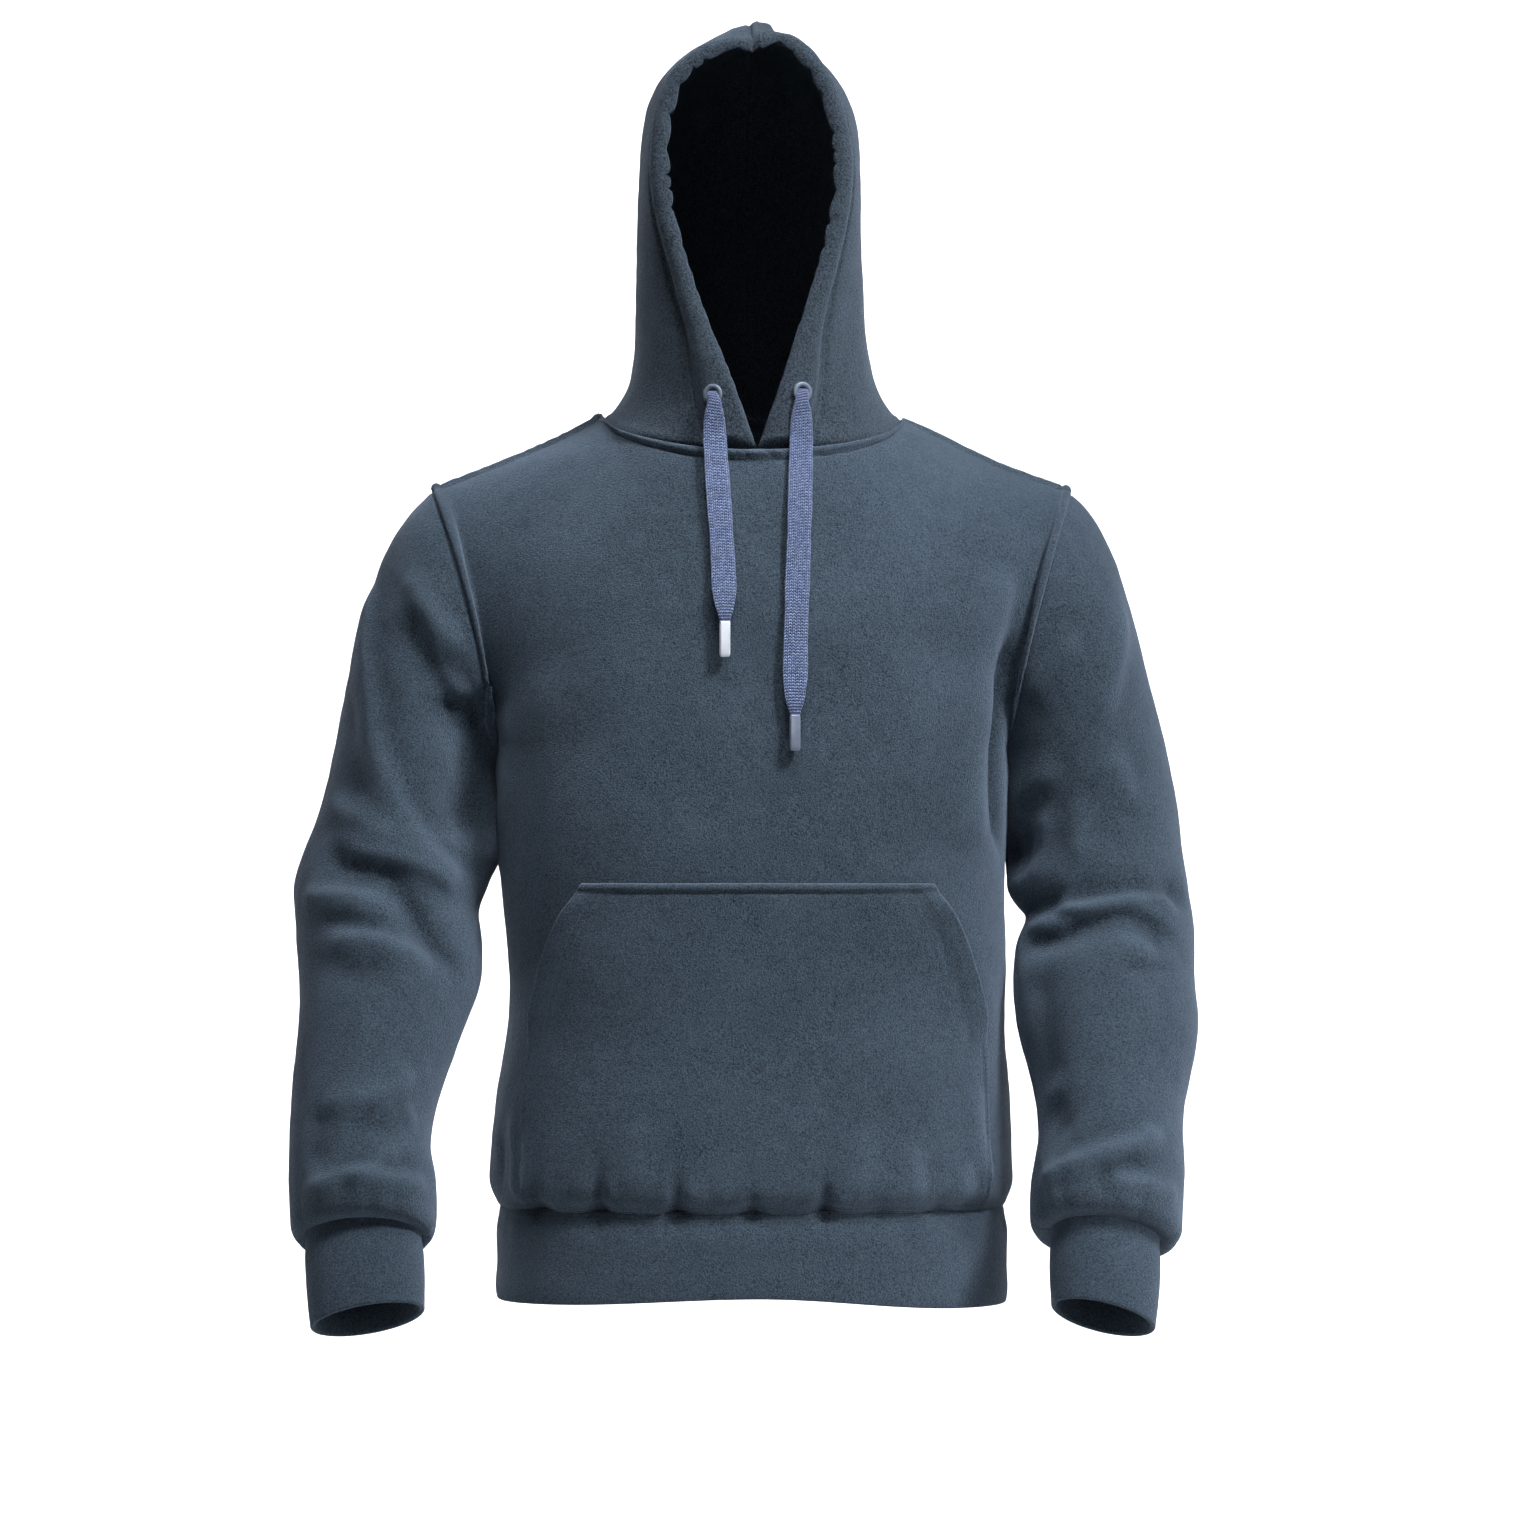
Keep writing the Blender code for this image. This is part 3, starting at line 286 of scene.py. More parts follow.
BEAN_TREE = bean_tree()
print("thread tree has", len(BEAN_TREE.nodes), "nodes")

# %% [markdown]
# ## Laying thread
# The lines go into the tree as a mesh of edges, whose points say which way is out, how far the
# beans lean and how big they are. The evaluated result is kept as a plain mesh, and the guide
# with its modifier is thrown away.

# %% Thread along lines
ThreadLine = namedtuple("ThreadLine", "points outward lean size")


def lay_thread(name, lines, thread, **sizes):
    """Beans of thread along lines, as one plain mesh object."""
    points, edges, outward, lean, size = [], [], [], [], []
    for line in lines:
        start = len(points)
        points.extend(line.points)
        outward.extend(line.outward)
        lean.extend([line.lean] * len(line.points))
        size.extend(np.broadcast_to(line.size, len(line.points)))
        edges.extend((k, k + 1) for k in range(start, len(points) - 1))
    mesh = bpy.data.meshes.new(name)
    mesh.from_pydata([tuple(point) for point in points], edges, [])
    mesh.attributes.new("outward", "FLOAT_VECTOR", "POINT").data.foreach_set(
        "vector", np.asarray(outward, float).ravel())
    mesh.attributes.new("lean", "FLOAT", "POINT").data.foreach_set("value", lean)
    mesh.attributes.new("size", "FLOAT", "POINT").data.foreach_set("value", size)
    guide = add_object(name + "_guide", mesh)
    modifier = guide.modifiers.new("thread", "NODES")
    modifier.node_group = BEAN_TREE
    sockets = {item.name: item.identifier for item in BEAN_TREE.interface.items_tree}
    for key, value in {"Thread": thread, **sizes}.items():
        modifier[sockets[key]] = value
    bpy.context.view_layer.update()
    evaluated = guide.evaluated_get(bpy.context.evaluated_depsgraph_get())
    plain = bpy.data.meshes.new_from_object(evaluated)
    bpy.data.objects.remove(guide, do_unlink=True)
    made = add_object(name, plain)
    print(name, "thread faces:", len(plain.polygons))
    return made


# %% [markdown]
# ## The nap
# Brushed fleece is a knit whose back loops were raised into a short nap. Its colour changes a
# little wherever the nap was stroked another way. Where folds stand proud the colour is painted
# lighter, and in the hollows between them darker: painted highlight and painted shade on the
# folds. One node group makes the pattern: slow patches and strokes, quick tufts, and the painted
# fold shading that each cloth carries. Every cloth material places it with its own values.


# %% The nap pattern as a node group
def math_node(tree, operation, first, second):
    """The result of a Math node on sockets or numbers."""
    return node(tree, "ShaderNodeMath", {0: first, 1: second}, operation=operation).outputs[0]


def mix_colour(tree, part, first, second):
    """The result of a Mix node on colours."""
    return node(tree, "ShaderNodeMix", {0: part, 6: first, 7: second},
                data_type="RGBA").outputs[2]


def nap_group():
    """Node group: stroked patches, fine tufts and painted fold shading (painted highlight on crests,
    painted shade in hollows) of a brushed cloth.
    """
    tree = bpy.data.node_groups.new("brushed_nap", "ShaderNodeTree")
    add_sockets(tree, "INPUT", "Vector", Place=None)
    add_sockets(tree, "INPUT", "Float", Crest=None)
    add_sockets(tree, "INPUT", "Color", Dark=None, Light=None)
    add_sockets(tree, "INPUT", "Float", Patch_Scale=26.0, Tuft_Scale=620.0, Patch_Amount=0.5,
                Tuft_Amount=0.5, Crest_Amount=0.5)
    add_sockets(tree, "OUTPUT", "Color", Color=None)
    add_sockets(tree, "OUTPUT", "Float", Roughness=None, Height=None)
    given = tree.nodes.new("NodeGroupInput").outputs

    def noise(scale, detail, roughness, distortion):
        made = node(tree, "ShaderNodeTexNoise",
                    {"Vector": given["Place"], "Scale": scale, "Detail": detail,
                     "Roughness": roughness, "Distortion": distortion})
        return math_node(tree, "SUBTRACT", made.outputs["Fac"], 0.5)

    patches = noise(given["Patch Scale"], 4.0, 0.62, 0.9)
    strokes = noise(math_node(tree, "MULTIPLY", given["Patch Scale"], 4.3), 3.0, 0.6, 0.4)
    tufts = noise(given["Tuft Scale"], 3.0, 0.7, 0.2)
    slow = math_node(tree, "ADD", patches, math_node(tree, "MULTIPLY", strokes, 0.40))
    slow = math_node(tree, "MULTIPLY", slow, given["Patch Amount"])
    quick = math_node(tree, "MULTIPLY", tufts, given["Tuft Amount"])
    # painted highlight on fold crests and painted shade in the hollows between them
    worn = math_node(tree, "MULTIPLY", given["Crest"], given["Crest Amount"])
    total = math_node(tree, "ADD", math_node(tree, "ADD", slow, quick), worn)
    shade = node(tree, "ShaderNodeMapRange", {"Value": total, "From Min": -1.1, "From Max": 1.1})
    rough = math_node(tree, "MULTIPLY", slow, -0.25)
    soft = math_node(tree, "MULTIPLY", strokes, 0.35)
    node(tree, "NodeGroupOutput", {
        "Color": mix_colour(tree, shade.outputs["Result"], given["Dark"], given["Light"]),
        "Roughness": math_node(tree, "ADD", rough, 0.93),
        "Height": math_node(tree, "ADD", soft, tufts)})
    return tree


NAP = nap_group()
print("nap group gives", [item.name for item in NAP.interface.items_tree
                          if item.in_out == "OUTPUT"])

# %% [markdown]
# ## Cloth finishes
# A cloth material is the nap on a rough shader. The loose fibres catch light at grazing angles,
# which a sheen layer gives, tinted a cool blue. The hood's copy of the fleece is painted a shade
# darker than the body's, as painted shade, and the folded rib of cuffs and hem is a little calmer.


# %% Cloth materials
def new_material(name):
    """An empty node material and its Principled shader."""
    made = bpy.data.materials.new(name)
    made.use_nodes = True
    return made, made.node_tree, made.node_tree.nodes["Principled BSDF"]


def object_place(tree):
    """Coordinates fixed to the piece."""
    return node(tree, "ShaderNodeTexCoord").outputs["Object"]


def bumped(tree, height, strength, distance):
    """Normals of a surface raised by a height."""
    return node(tree, "ShaderNodeBump", {"Strength": strength, "Distance": distance,
                                         "Height": height}).outputs["Normal"]


def cloth_material(name, dark, light, tuft_scale, patch_amount, tuft_amount, sheen):
    """Brushed cloth: the nap group on a Principled shader with a sheen."""
    made, tree, shader = new_material(name)
    # the painted fold shading each cloth carries: painted highlight on crests, painted shade in
    # hollows
    crest = node(tree, "ShaderNodeAttribute", attribute_name="crest")
    nap = node(tree, "ShaderNodeGroup",
               {"Place": object_place(tree), "Crest": crest.outputs["Fac"],
                "Dark": (*dark, 1.0), "Light": (*light, 1.0), "Tuft Scale": tuft_scale,
                "Patch Amount": patch_amount, "Tuft Amount": tuft_amount, "Crest Amount": 0.42},
               node_tree=NAP).outputs
    feed(tree, shader, {
        "Base Color": nap["Color"], "Roughness": nap["Roughness"],
        "Normal": bumped(tree, nap["Height"], 0.8, 0.0017), "Sheen Weight": sheen,
        "Sheen Roughness": 0.42, "Sheen Tint": (0.56, 0.70, 0.95, 1.0),
        "Specular IOR Level": 0.25})
    return made


FLEECE = cloth_material("brushed_fleece", (0.003, 0.008, 0.014), (0.072, 0.103, 0.141),
                        780.0, 0.55, 5.0, 0.32)
# the same fleece as the body, painted darker and with less sheen: painted shade over the whole hood
HOOD_FLEECE_PAINTED_SHADE = cloth_material("hood_fleece", (0.001, 0.003, 0.006), (0.053, 0.075, 0.101),
                             700.0, 0.55, 6.0, 0.24)
RIB = cloth_material("folded_rib", (0.003, 0.008, 0.014), (0.067, 0.096, 0.133),
                     780.0, 0.50, 5.0, 0.30)
print("cloth finishes:", FLEECE.name, HOOD_FLEECE_PAINTED_SHADE.name, RIB.name)

# %% [markdown]
# ## Thread, braid and painted metal
# The cord is a flat braid of polyester: each strand shows as a bright fleck where it comes up.
# The core under the strands is painted dark, as painted shade between them. The eyelets are metal
# under a thin satin paint in the cloth's own blue-grey. Both tips are one grey-blue metal; the
# wearer's right one is painted bright, as a painted reflection of the lamps.


# %% Finishes of the small parts
def fleck_material(name, dark, light, roughness, sheen):
    """Thread whose beans differ a little in colour, by the fleck attribute."""
    made, tree, shader = new_material(name)
    fleck = node(tree, "ShaderNodeAttribute", attribute_name="fleck")
    fibre = node(tree, "ShaderNodeTexNoise", {"Vector": object_place(tree), "Scale": 1500.0,
                                              "Detail": 2.0}).outputs["Fac"]
    part = math_node(tree, "ADD", math_node(tree, "MULTIPLY", fleck.outputs["Fac"], 0.7),
                     math_node(tree, "MULTIPLY", fibre, 0.3))
    feed(tree, shader, {"Base Color": mix_colour(tree, part, (*dark, 1.0), (*light, 1.0)),
                        "Normal": bumped(tree, fibre, 0.4, 0.0003), "Roughness": roughness,
                        "Sheen Weight": sheen})
    return made


def metal_material(name, dark, light, metallic, roughness):
    """Metal or paint on metal, faintly clouded and worn."""
    made, tree, shader = new_material(name)
    cloud = node(tree, "ShaderNodeTexNoise", {"Vector": object_place(tree), "Scale": 240.0,
                                              "Detail": 4.0}).outputs["Fac"]
    rough = math_node(tree, "MULTIPLY", cloud, 0.10)
    feed(tree, shader, {"Base Color": mix_colour(tree, cloud, (*dark, 1.0), (*light, 1.0)),
                        "Roughness": math_node(tree, "ADD", rough, roughness),
                        "Metallic": metallic, "Coat Weight": 0.5})
    return made


BRAID = fleck_material("braided_cord", (0.068, 0.098, 0.205), (0.200, 0.264, 0.445), 0.62, 0.15)
# the core under the strands is painted dark: painted shade between the braid's strands
CORD_CORE_PAINTED_SHADE = fleck_material("cord_core", (0.020, 0.028, 0.065), (0.040, 0.055, 0.115), 0.8, 0.1)
THREAD = fleck_material("sewing_thread", (0.018, 0.027, 0.040), (0.045, 0.064, 0.090), 0.8, 0.2)
PAINTED = metal_material("painted_metal", (0.09, 0.115, 0.155), (0.15, 0.19, 0.25), 0.20, 0.55)
# the right tip's bright colour is a painted reflection of the lamps; the left tip's grey is the
# metal's own
TIP_METAL = {
    "right": metal_material("bright_metal", (0.66, 0.70, 0.78), (0.80, 0.84, 0.92), 0.35, 0.30),
    "left": metal_material("grey_metal", (0.16, 0.19, 0.26), (0.24, 0.28, 0.37), 0.35, 0.30),
}
print("small finishes:", BRAID.name, CORD_CORE_PAINTED_SHADE.name, THREAD.name, PAINTED.name)

# %% [markdown]
# ## The drawcord's free ends
# A flat cord runs in a tunnel round the hood and leaves it through two eyelets. What shows is
# one short and one longer end, hanging down the front under their own weight, each closed by a
# metal tip. The route is a short list of points, straight out of the eyelet and then down the
# cloth. The core is a flat band with six raised wales, and the strands are laid on it.

# %% Routes of the two ends
CordEnd = namedtuple("CordEnd", "name side length route")
CORDS = (
    CordEnd("right", -1, 0.181, (
        (-0.0333, -0.0988, 0.0071), (-0.0343, -0.1014, 0.0070), (-0.0331, -0.1044, 0.0019),
        (-0.0330, -0.1040, -0.0055), (-0.0329, -0.1028, -0.0129), (-0.0326, -0.1020, -0.0203),
        (-0.0324, -0.1021, -0.0277), (-0.0320, -0.1033, -0.0350), (-0.0317, -0.1051, -0.0424),
        (-0.0312, -0.1066, -0.0498), (-0.0308, -0.1081, -0.0572), (-0.0303, -0.1096, -0.0646),
        (-0.0299, -0.1107, -0.0719), (-0.0294, -0.1119, -0.0793), (-0.0289, -0.1130, -0.0867),
        (-0.0284, -0.1140, -0.0941), (-0.0280, -0.1148, -0.1015), (-0.0275, -0.1156, -0.1088),
        (-0.0271, -0.1165, -0.1162), (-0.0267, -0.1173, -0.1236), (-0.0264, -0.1181, -0.1310),
        (-0.0261, -0.1192, -0.1384), (-0.0258, -0.1206, -0.1458), (-0.0257, -0.1223, -0.1531),
        (-0.0255, -0.1236, -0.1605), (-0.0255, -0.1243, -0.1679))),
    CordEnd("left", 1, 0.253, (
        (0.0339, -0.0987, 0.0091), (0.0349, -0.1013, 0.0090), (0.0338, -0.1042, 0.0017),
        (0.0337, -0.1036, -0.0088), (0.0335, -0.1030, -0.0192), (0.0334, -0.1032, -0.0297),
        (0.0331, -0.1046, -0.0402), (0.0329, -0.1067, -0.0506), (0.0325, -0.1089, -0.0611),
        (0.0322, -0.1106, -0.0715), (0.0319, -0.1122, -0.0820), (0.0315, -0.1137, -0.0925),
        (0.0311, -0.1149, -0.1029), (0.0307, -0.1161, -0.1134), (0.0303, -0.1172, -0.1238),
        (0.0299, -0.1181, -0.1343), (0.0295, -0.1189, -0.1448), (0.0292, -0.1197, -0.1552),
        (0.0288, -0.1204, -0.1657), (0.0285, -0.1209, -0.1761), (0.0282, -0.1215, -0.1866),
        (0.0280, -0.1221, -0.1970), (0.0278, -0.1229, -0.2075), (0.0276, -0.1240, -0.2180),
        (0.0275, -0.1252, -0.2284), (0.0275, -0.1257, -0.2389))),
)

# %% Core band and strands
CORD_WIDTH = 0.0185
CORD_THICKNESS = 0.0026
WALES = 6
WALE_RISE = 0.00035
STRAND_PITCH = 0.0023
STRAND_LEAN = math.radians(30.0)


def band_sections(route):
    """Middle line of a flat cord, its sideways and outward directions, width, thickness, run."""
    middle = fine_curve(route, 0.0012)
    travelled = lengths(middle)
    total = travelled[-1]
    forward = unit(np.gradient(middle, axis=0))
    sideways = np.tile([1.0, 0.0, 0.0], (len(middle), 1))
    sideways = unit(sideways - forward * np.sum(sideways * forward, axis=1, keepdims=True))
    outward = np.cross(forward, sideways)
    width = np.interp(travelled, [0, 0.006, 0.022, 0.045, total - 0.024, total - 0.010, total],
                      [0.0062, 0.0080, 0.0160, CORD_WIDTH, CORD_WIDTH, 0.0145, 0.0070])
    width = np.convolve(np.pad(width, 4, mode="edge"), np.full(9, 1 / 9), mode="valid")
    width = width * (1 + 0.020 * np.sin(travelled * 95.0) + 0.014 * np.sin(travelled * 211.0))
    thick = np.interp(travelled, [0, 0.007, 0.030], [0.0042, 0.0040, CORD_THICKNESS])
    return middle, sideways, outward, width, thick, travelled


def band_profile():
    """Closed outline of the cord's section, six round wales on each face."""
    across = np.linspace(-0.5, 0.5, WALES * 4 + 1)
    edge = np.sqrt(np.clip(1 - (np.abs(across) * 2) ** 6, 0.0, 1.0))
    wale = np.abs(np.sin(np.pi * (across + 0.5) * WALES)) ** 0.7
    face = [(u, 0.5 * e, e * w) for u, e, w in zip(across, edge, wale)]
    back = [(u, -v, -w) for u, v, w in face[::-1]]
    return face + back[1:-1]


def cord_piece(cord):
    """The band with its strands, as one mesh object."""
    middle, sideways, outward, width, thick, travelled = band_sections(cord.route)
    profile = np.array(band_profile())
    count = len(profile)
    rows = (middle[:, None] + sideways[:, None] * (profile[:, :1] * width[:, None, None])
            + outward[:, None] * (profile[:, 1:2] * thick[:, None, None]
                                  + profile[:, 2:] * WALE_RISE))
    faces = []
    for r in range(len(rows) - 1):
        for c in range(count):
            n = (c + 1) % count
            faces.append((r * count + n, r * count + c, (r + 1) * count + c,
                          (r + 1) * count + n))
    last = (len(rows) - 1) * count
    faces.append(tuple(range(count)))
    faces.append(tuple(range(last, last + count))[::-1])
    core = new_object("core_" + cord.name, rows.reshape(-1, 3), faces)
    # the core's dark colour is painted shade between the strands
    core.data.materials.append(CORD_CORE_PAINTED_SHADE)
    lines = []
    for face, halves in ((1, WALES * 2), (-1, WALES)):
        for strand in range(halves):
            u = (strand + 0.5) / halves - 0.5
            high = face * (0.5 * thick * math.sqrt(1 - abs(u * 2) ** 6) + WALE_RISE * 0.6)
            spot = middle + sideways * (u * width)[:, None] + outward * high[:, None]
            lean = STRAND_LEAN if strand % 2 else -STRAND_LEAN
            lines.append(ThreadLine(spot[1:], outward[1:] * face, lean,
                                    (width[1:] / CORD_WIDTH) ** 0.8))
    strands = lay_thread("strands_" + cord.name, lines, BRAID, Pitch=STRAND_PITCH,
                         Length=0.0031, Width=CORD_WIDTH / WALES / 2 * 0.92, Height=0.0012,
                         Wander=0.04, Seed=3 + cord.side)
    for piece in (core, strands):
        piece.select_set(True)
    bpy.context.view_layer.objects.active = core
    with bpy.context.temp_override(active_object=core, selected_editable_objects=[core, strands],
                                   selected_objects=[core, strands]):
        bpy.ops.object.join()
    core.name = "cord_" + cord.name
    print(core.name, "is", round(float(travelled[-1]), 4), "m long")
    return core, middle


cords = {cord.name: cord_piece(cord) for cord in CORDS}

# %% [markdown]
# ## The worn form as numbers
# A pattern maker thinks in levels: how wide and deep the body is at the hem, waist and chest,
# and where each ring of a sleeve lies. These short tables hold the levels; a smooth curve
# through them gives every size in between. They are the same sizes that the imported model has.

# %% Levels of the body
WALL = 0.0026               # thickness of the fleece
RIB_WALL = 0.0040           # hem band and cuffs, doubled
SIDE_Y = 0.004
HEM_Z = -0.6170
ARMPIT_Z = -0.2620
SHOULDER_TIP = (0.2515, SIDE_Y, -0.0580)
ARMPIT_X = 0.2000
ARMHOLE_DEPTH = 0.0640
ARMHOLE_BOW = 0.0060
BLOUSE_DROP = 0.0130        # how far a sleeve rolls down over its cuff
CUFF_TUCK = 0.0045
UNDERARM_FULLNESS = 0.0096  # the sleeve swells towards the body below the armpit

BodyLevel = namedtuple("BodyLevel", "height half_width front back squareness")
BODY = (
    BodyLevel(HEM_Z, 0.1985, 0.1080, 0.1080, 2.5),
    BodyLevel(-0.5950, 0.2030, 0.1130, 0.1120, 2.5),
    BodyLevel(-0.5400, 0.2020, 0.1140, 0.1110, 2.5),
    BodyLevel(-0.4800, 0.1985, 0.1145, 0.1080, 2.5),
    BodyLevel(-0.4000, 0.1990, 0.1190, 0.1080, 2.5),
    BodyLevel(-0.3300, 0.1995, 0.1240, 0.1120, 2.5),
    BodyLevel(-0.2620, 0.2000, 0.1250, 0.1160, 2.5),
)
BandLevel = namedtuple("BandLevel", "height spread")
HEM_BAND = (
    BandLevel(HEM_Z, 1.000),
    BandLevel(-0.6330, 0.990),
    BandLevel(-0.6600, 0.985),
    BandLevel(-0.6830, 0.988),
    BandLevel(-0.6885, 0.983),
)
PocketSide = namedtuple("PocketSide", "height half_width")
POCKET_SIDE = (
    PocketSide(HEM_Z, 0.1780),
    PocketSide(-0.5800, 0.1805),
    PocketSide(-0.5300, 0.1800),
    PocketSide(-0.4900, 0.1770),
    PocketSide(-0.4500, 0.1700),
    PocketSide(-0.4200, 0.1610),
    PocketSide(-0.3920, 0.1490),
    PocketSide(-0.3660, 0.1340),
    PocketSide(-0.3300, 0.1260),
    PocketSide(-0.2620, 0.1210),
)
POCKET_TOP_Z = -0.3660
POCKET_MOUTH_LOW = -0.4850

# %% Rings of the sleeves
Ring = namedtuple("Ring", "outer_x outer_z inner_x inner_z mid_y half_depth tilt")
SLEEVE_RIGHT = (
    Ring(0.2515, -0.058, 0.2000, -0.262, 0.004, 0.064, 0),
    Ring(0.2720, -0.082, 0.2065, -0.270, 0.006, 0.067, 0),
    Ring(0.2900, -0.113, 0.2075, -0.281, 0.008, 0.069, 0),
    Ring(0.3020, -0.150, 0.2070, -0.295, 0.010, 0.070, 0),
    Ring(0.3120, -0.190, 0.2065, -0.312, 0.011, 0.070, 0),
    Ring(0.3220, -0.232, 0.2065, -0.330, 0.011, 0.069, 0),
    Ring(0.3320, -0.275, 0.2070, -0.349, 0.009, 0.068, 2),
    Ring(0.3415, -0.317, 0.2150, -0.368, 0.004, 0.068, 6),
    Ring(0.3570, -0.365, 0.2190, -0.391, -0.005, 0.068, 12),
    Ring(0.3550, -0.405, 0.2155, -0.418, -0.017, 0.067, 17),
    Ring(0.3510, -0.445, 0.2160, -0.450, -0.032, 0.064, 21),
    Ring(0.3520, -0.480, 0.2290, -0.484, -0.047, 0.060, 24),
    Ring(0.3540, -0.520, 0.2405, -0.522, -0.064, 0.056, 25),
    Ring(0.3550, -0.560, 0.2470, -0.560, -0.081, 0.054, 26),
    Ring(0.3535, -0.595, 0.2440, -0.593, -0.096, 0.054, 26),
    Ring(0.3515, -0.622, 0.2440, -0.620, -0.107, 0.054, 30),
)
SLEEVE_LEFT = (
    Ring(0.2515, -0.058, 0.2000, -0.262, 0.004, 0.064, 0),
    Ring(0.2720, -0.080, 0.2065, -0.270, 0.006, 0.067, 0),
    Ring(0.2880, -0.110, 0.2075, -0.281, 0.008, 0.069, 0),
    Ring(0.3000, -0.150, 0.2070, -0.295, 0.010, 0.070, 0),
    Ring(0.3105, -0.190, 0.2065, -0.312, 0.011, 0.070, 0),
    Ring(0.3215, -0.232, 0.2065, -0.330, 0.011, 0.069, 0),
    Ring(0.3305, -0.275, 0.2065, -0.349, 0.009, 0.068, 2),
    Ring(0.3380, -0.317, 0.2065, -0.366, 0.004, 0.068, 6),
    Ring(0.3425, -0.362, 0.2065, -0.386, -0.005, 0.068, 12),
    Ring(0.3445, -0.402, 0.2095, -0.410, -0.017, 0.067, 17),
    Ring(0.3445, -0.442, 0.2065, -0.443, -0.032, 0.064, 21),
    Ring(0.3440, -0.475, 0.2070, -0.474, -0.047, 0.060, 24),
    Ring(0.3370, -0.515, 0.2120, -0.513, -0.064, 0.056, 25),
    Ring(0.3270, -0.558, 0.2165, -0.553, -0.081, 0.054, 26),
    Ring(0.3255, -0.600, 0.2100, -0.590, -0.096, 0.054, 26),
    Ring(0.3225, -0.630, 0.2070, -0.614, -0.107, 0.054, 30),
)
Sleeve = namedtuple("Sleeve", "name side rings foot cuff_half_width")
CUFF_HALF_DEPTH = 0.0340
SLEEVES = (
    Sleeve("right", -1, SLEEVE_RIGHT,
           Ring(0.3345, -0.699, 0.2500, -0.684, -0.137, 0.031, 27), 0.0440),
    Sleeve("left", 1, SLEEVE_LEFT,
           Ring(0.2975, -0.703, 0.2200, -0.682, -0.137, 0.031, 27), 0.0410),
)

# %% Levels of the hood
HoodLevel = namedtuple(
    "HoodLevel", "face_x face_y face_z side_x side_y side_z back_y back_z turn casing ease")
HOOD = (
    HoodLevel(0.0002, -0.100, -0.034, 0.1180, 0.000, 0.000, 0.084, 0.008, 0, 0.036, 0.0),
    HoodLevel(0.0150, -0.103, 0.003, 0.0990, 0.004, 0.015, 0.094, 0.028, 20, 0.034, 0.2),
    HoodLevel(0.0217, -0.102, 0.022, 0.0953, 0.006, 0.034, 0.102, 0.052, 26, 0.031, 0.3),
    HoodLevel(0.0328, -0.098, 0.052, 0.0915, 0.008, 0.060, 0.113, 0.085, 34, 0.0235, 0.4),
    HoodLevel(0.0430, -0.094, 0.078, 0.0890, 0.010, 0.085, 0.122, 0.113, 40, 0.0200, 0.5),
    HoodLevel(0.0520, -0.090, 0.115, 0.0883, 0.012, 0.118, 0.131, 0.147, 44, 0.0185, 0.5),
    HoodLevel(0.0595, -0.087, 0.144, 0.0874, 0.012, 0.145, 0.135, 0.172, 46, 0.0178, 0.5),
    HoodLevel(0.0630, -0.085, 0.175, 0.0868, 0.012, 0.175, 0.135, 0.202, 46, 0.0178, 0.5),
    HoodLevel(0.0630, -0.083, 0.204, 0.0868, 0.012, 0.205, 0.128, 0.229, 46, 0.0178, 0.6),
    HoodLevel(0.0585, -0.082, 0.228, 0.0847, 0.012, 0.236, 0.115, 0.254, 44, 0.0178, 0.7),
    HoodLevel(0.0505, -0.081, 0.244, 0.0795, 0.012, 0.254, 0.102, 0.270, 42, 0.0178, 0.8),
    HoodLevel(0.0389, -0.080, 0.259, 0.0680, 0.012, 0.273, 0.086, 0.284, 42, 0.0178, 0.9),
    HoodLevel(0.0267, -0.080, 0.269, 0.0450, 0.012, 0.294, 0.070, 0.295, 50, 0.0180, 1.0),
    HoodLevel(0.0130, -0.079, 0.276, 0.0220, 0.012, 0.307, 0.055, 0.303, 65, 0.018, 1.0),
    HoodLevel(0.0002, -0.079, 0.279, 0.0002, 0.012, 0.3135, 0.040, 0.308, 90, 0.018, 1.0),
)
OPENING_EASE = 0.0030       # the cloth is drawn back this far beside the cheeks
HOOD_SLIP = 0.0026          # the hood sits this far to the wearer's right of the middle
CASING_ACROSS = (0.0, 0.22, 0.58, 0.90, 1.08)

# %% [markdown]
# ## Panels
# Every piece of cloth starts as a grid of points on the smooth worn form. The grid is fine
# beside the seams, where stitched edges need rows under a millimetre apart, and a few
# millimetres wide elsewhere. A Panel remembers how far each point lies from each of its edges,
# measured along the cloth, because seams, hems and stitches are all placed by that distance.

# %% Panels and their edges
SEAM_STEPS = (0.0, 0.0007, 0.0015, 0.0025, 0.0037, 0.0051, 0.0063, 0.0073, 0.0081, 0.0089,
              0.0099, 0.0110)


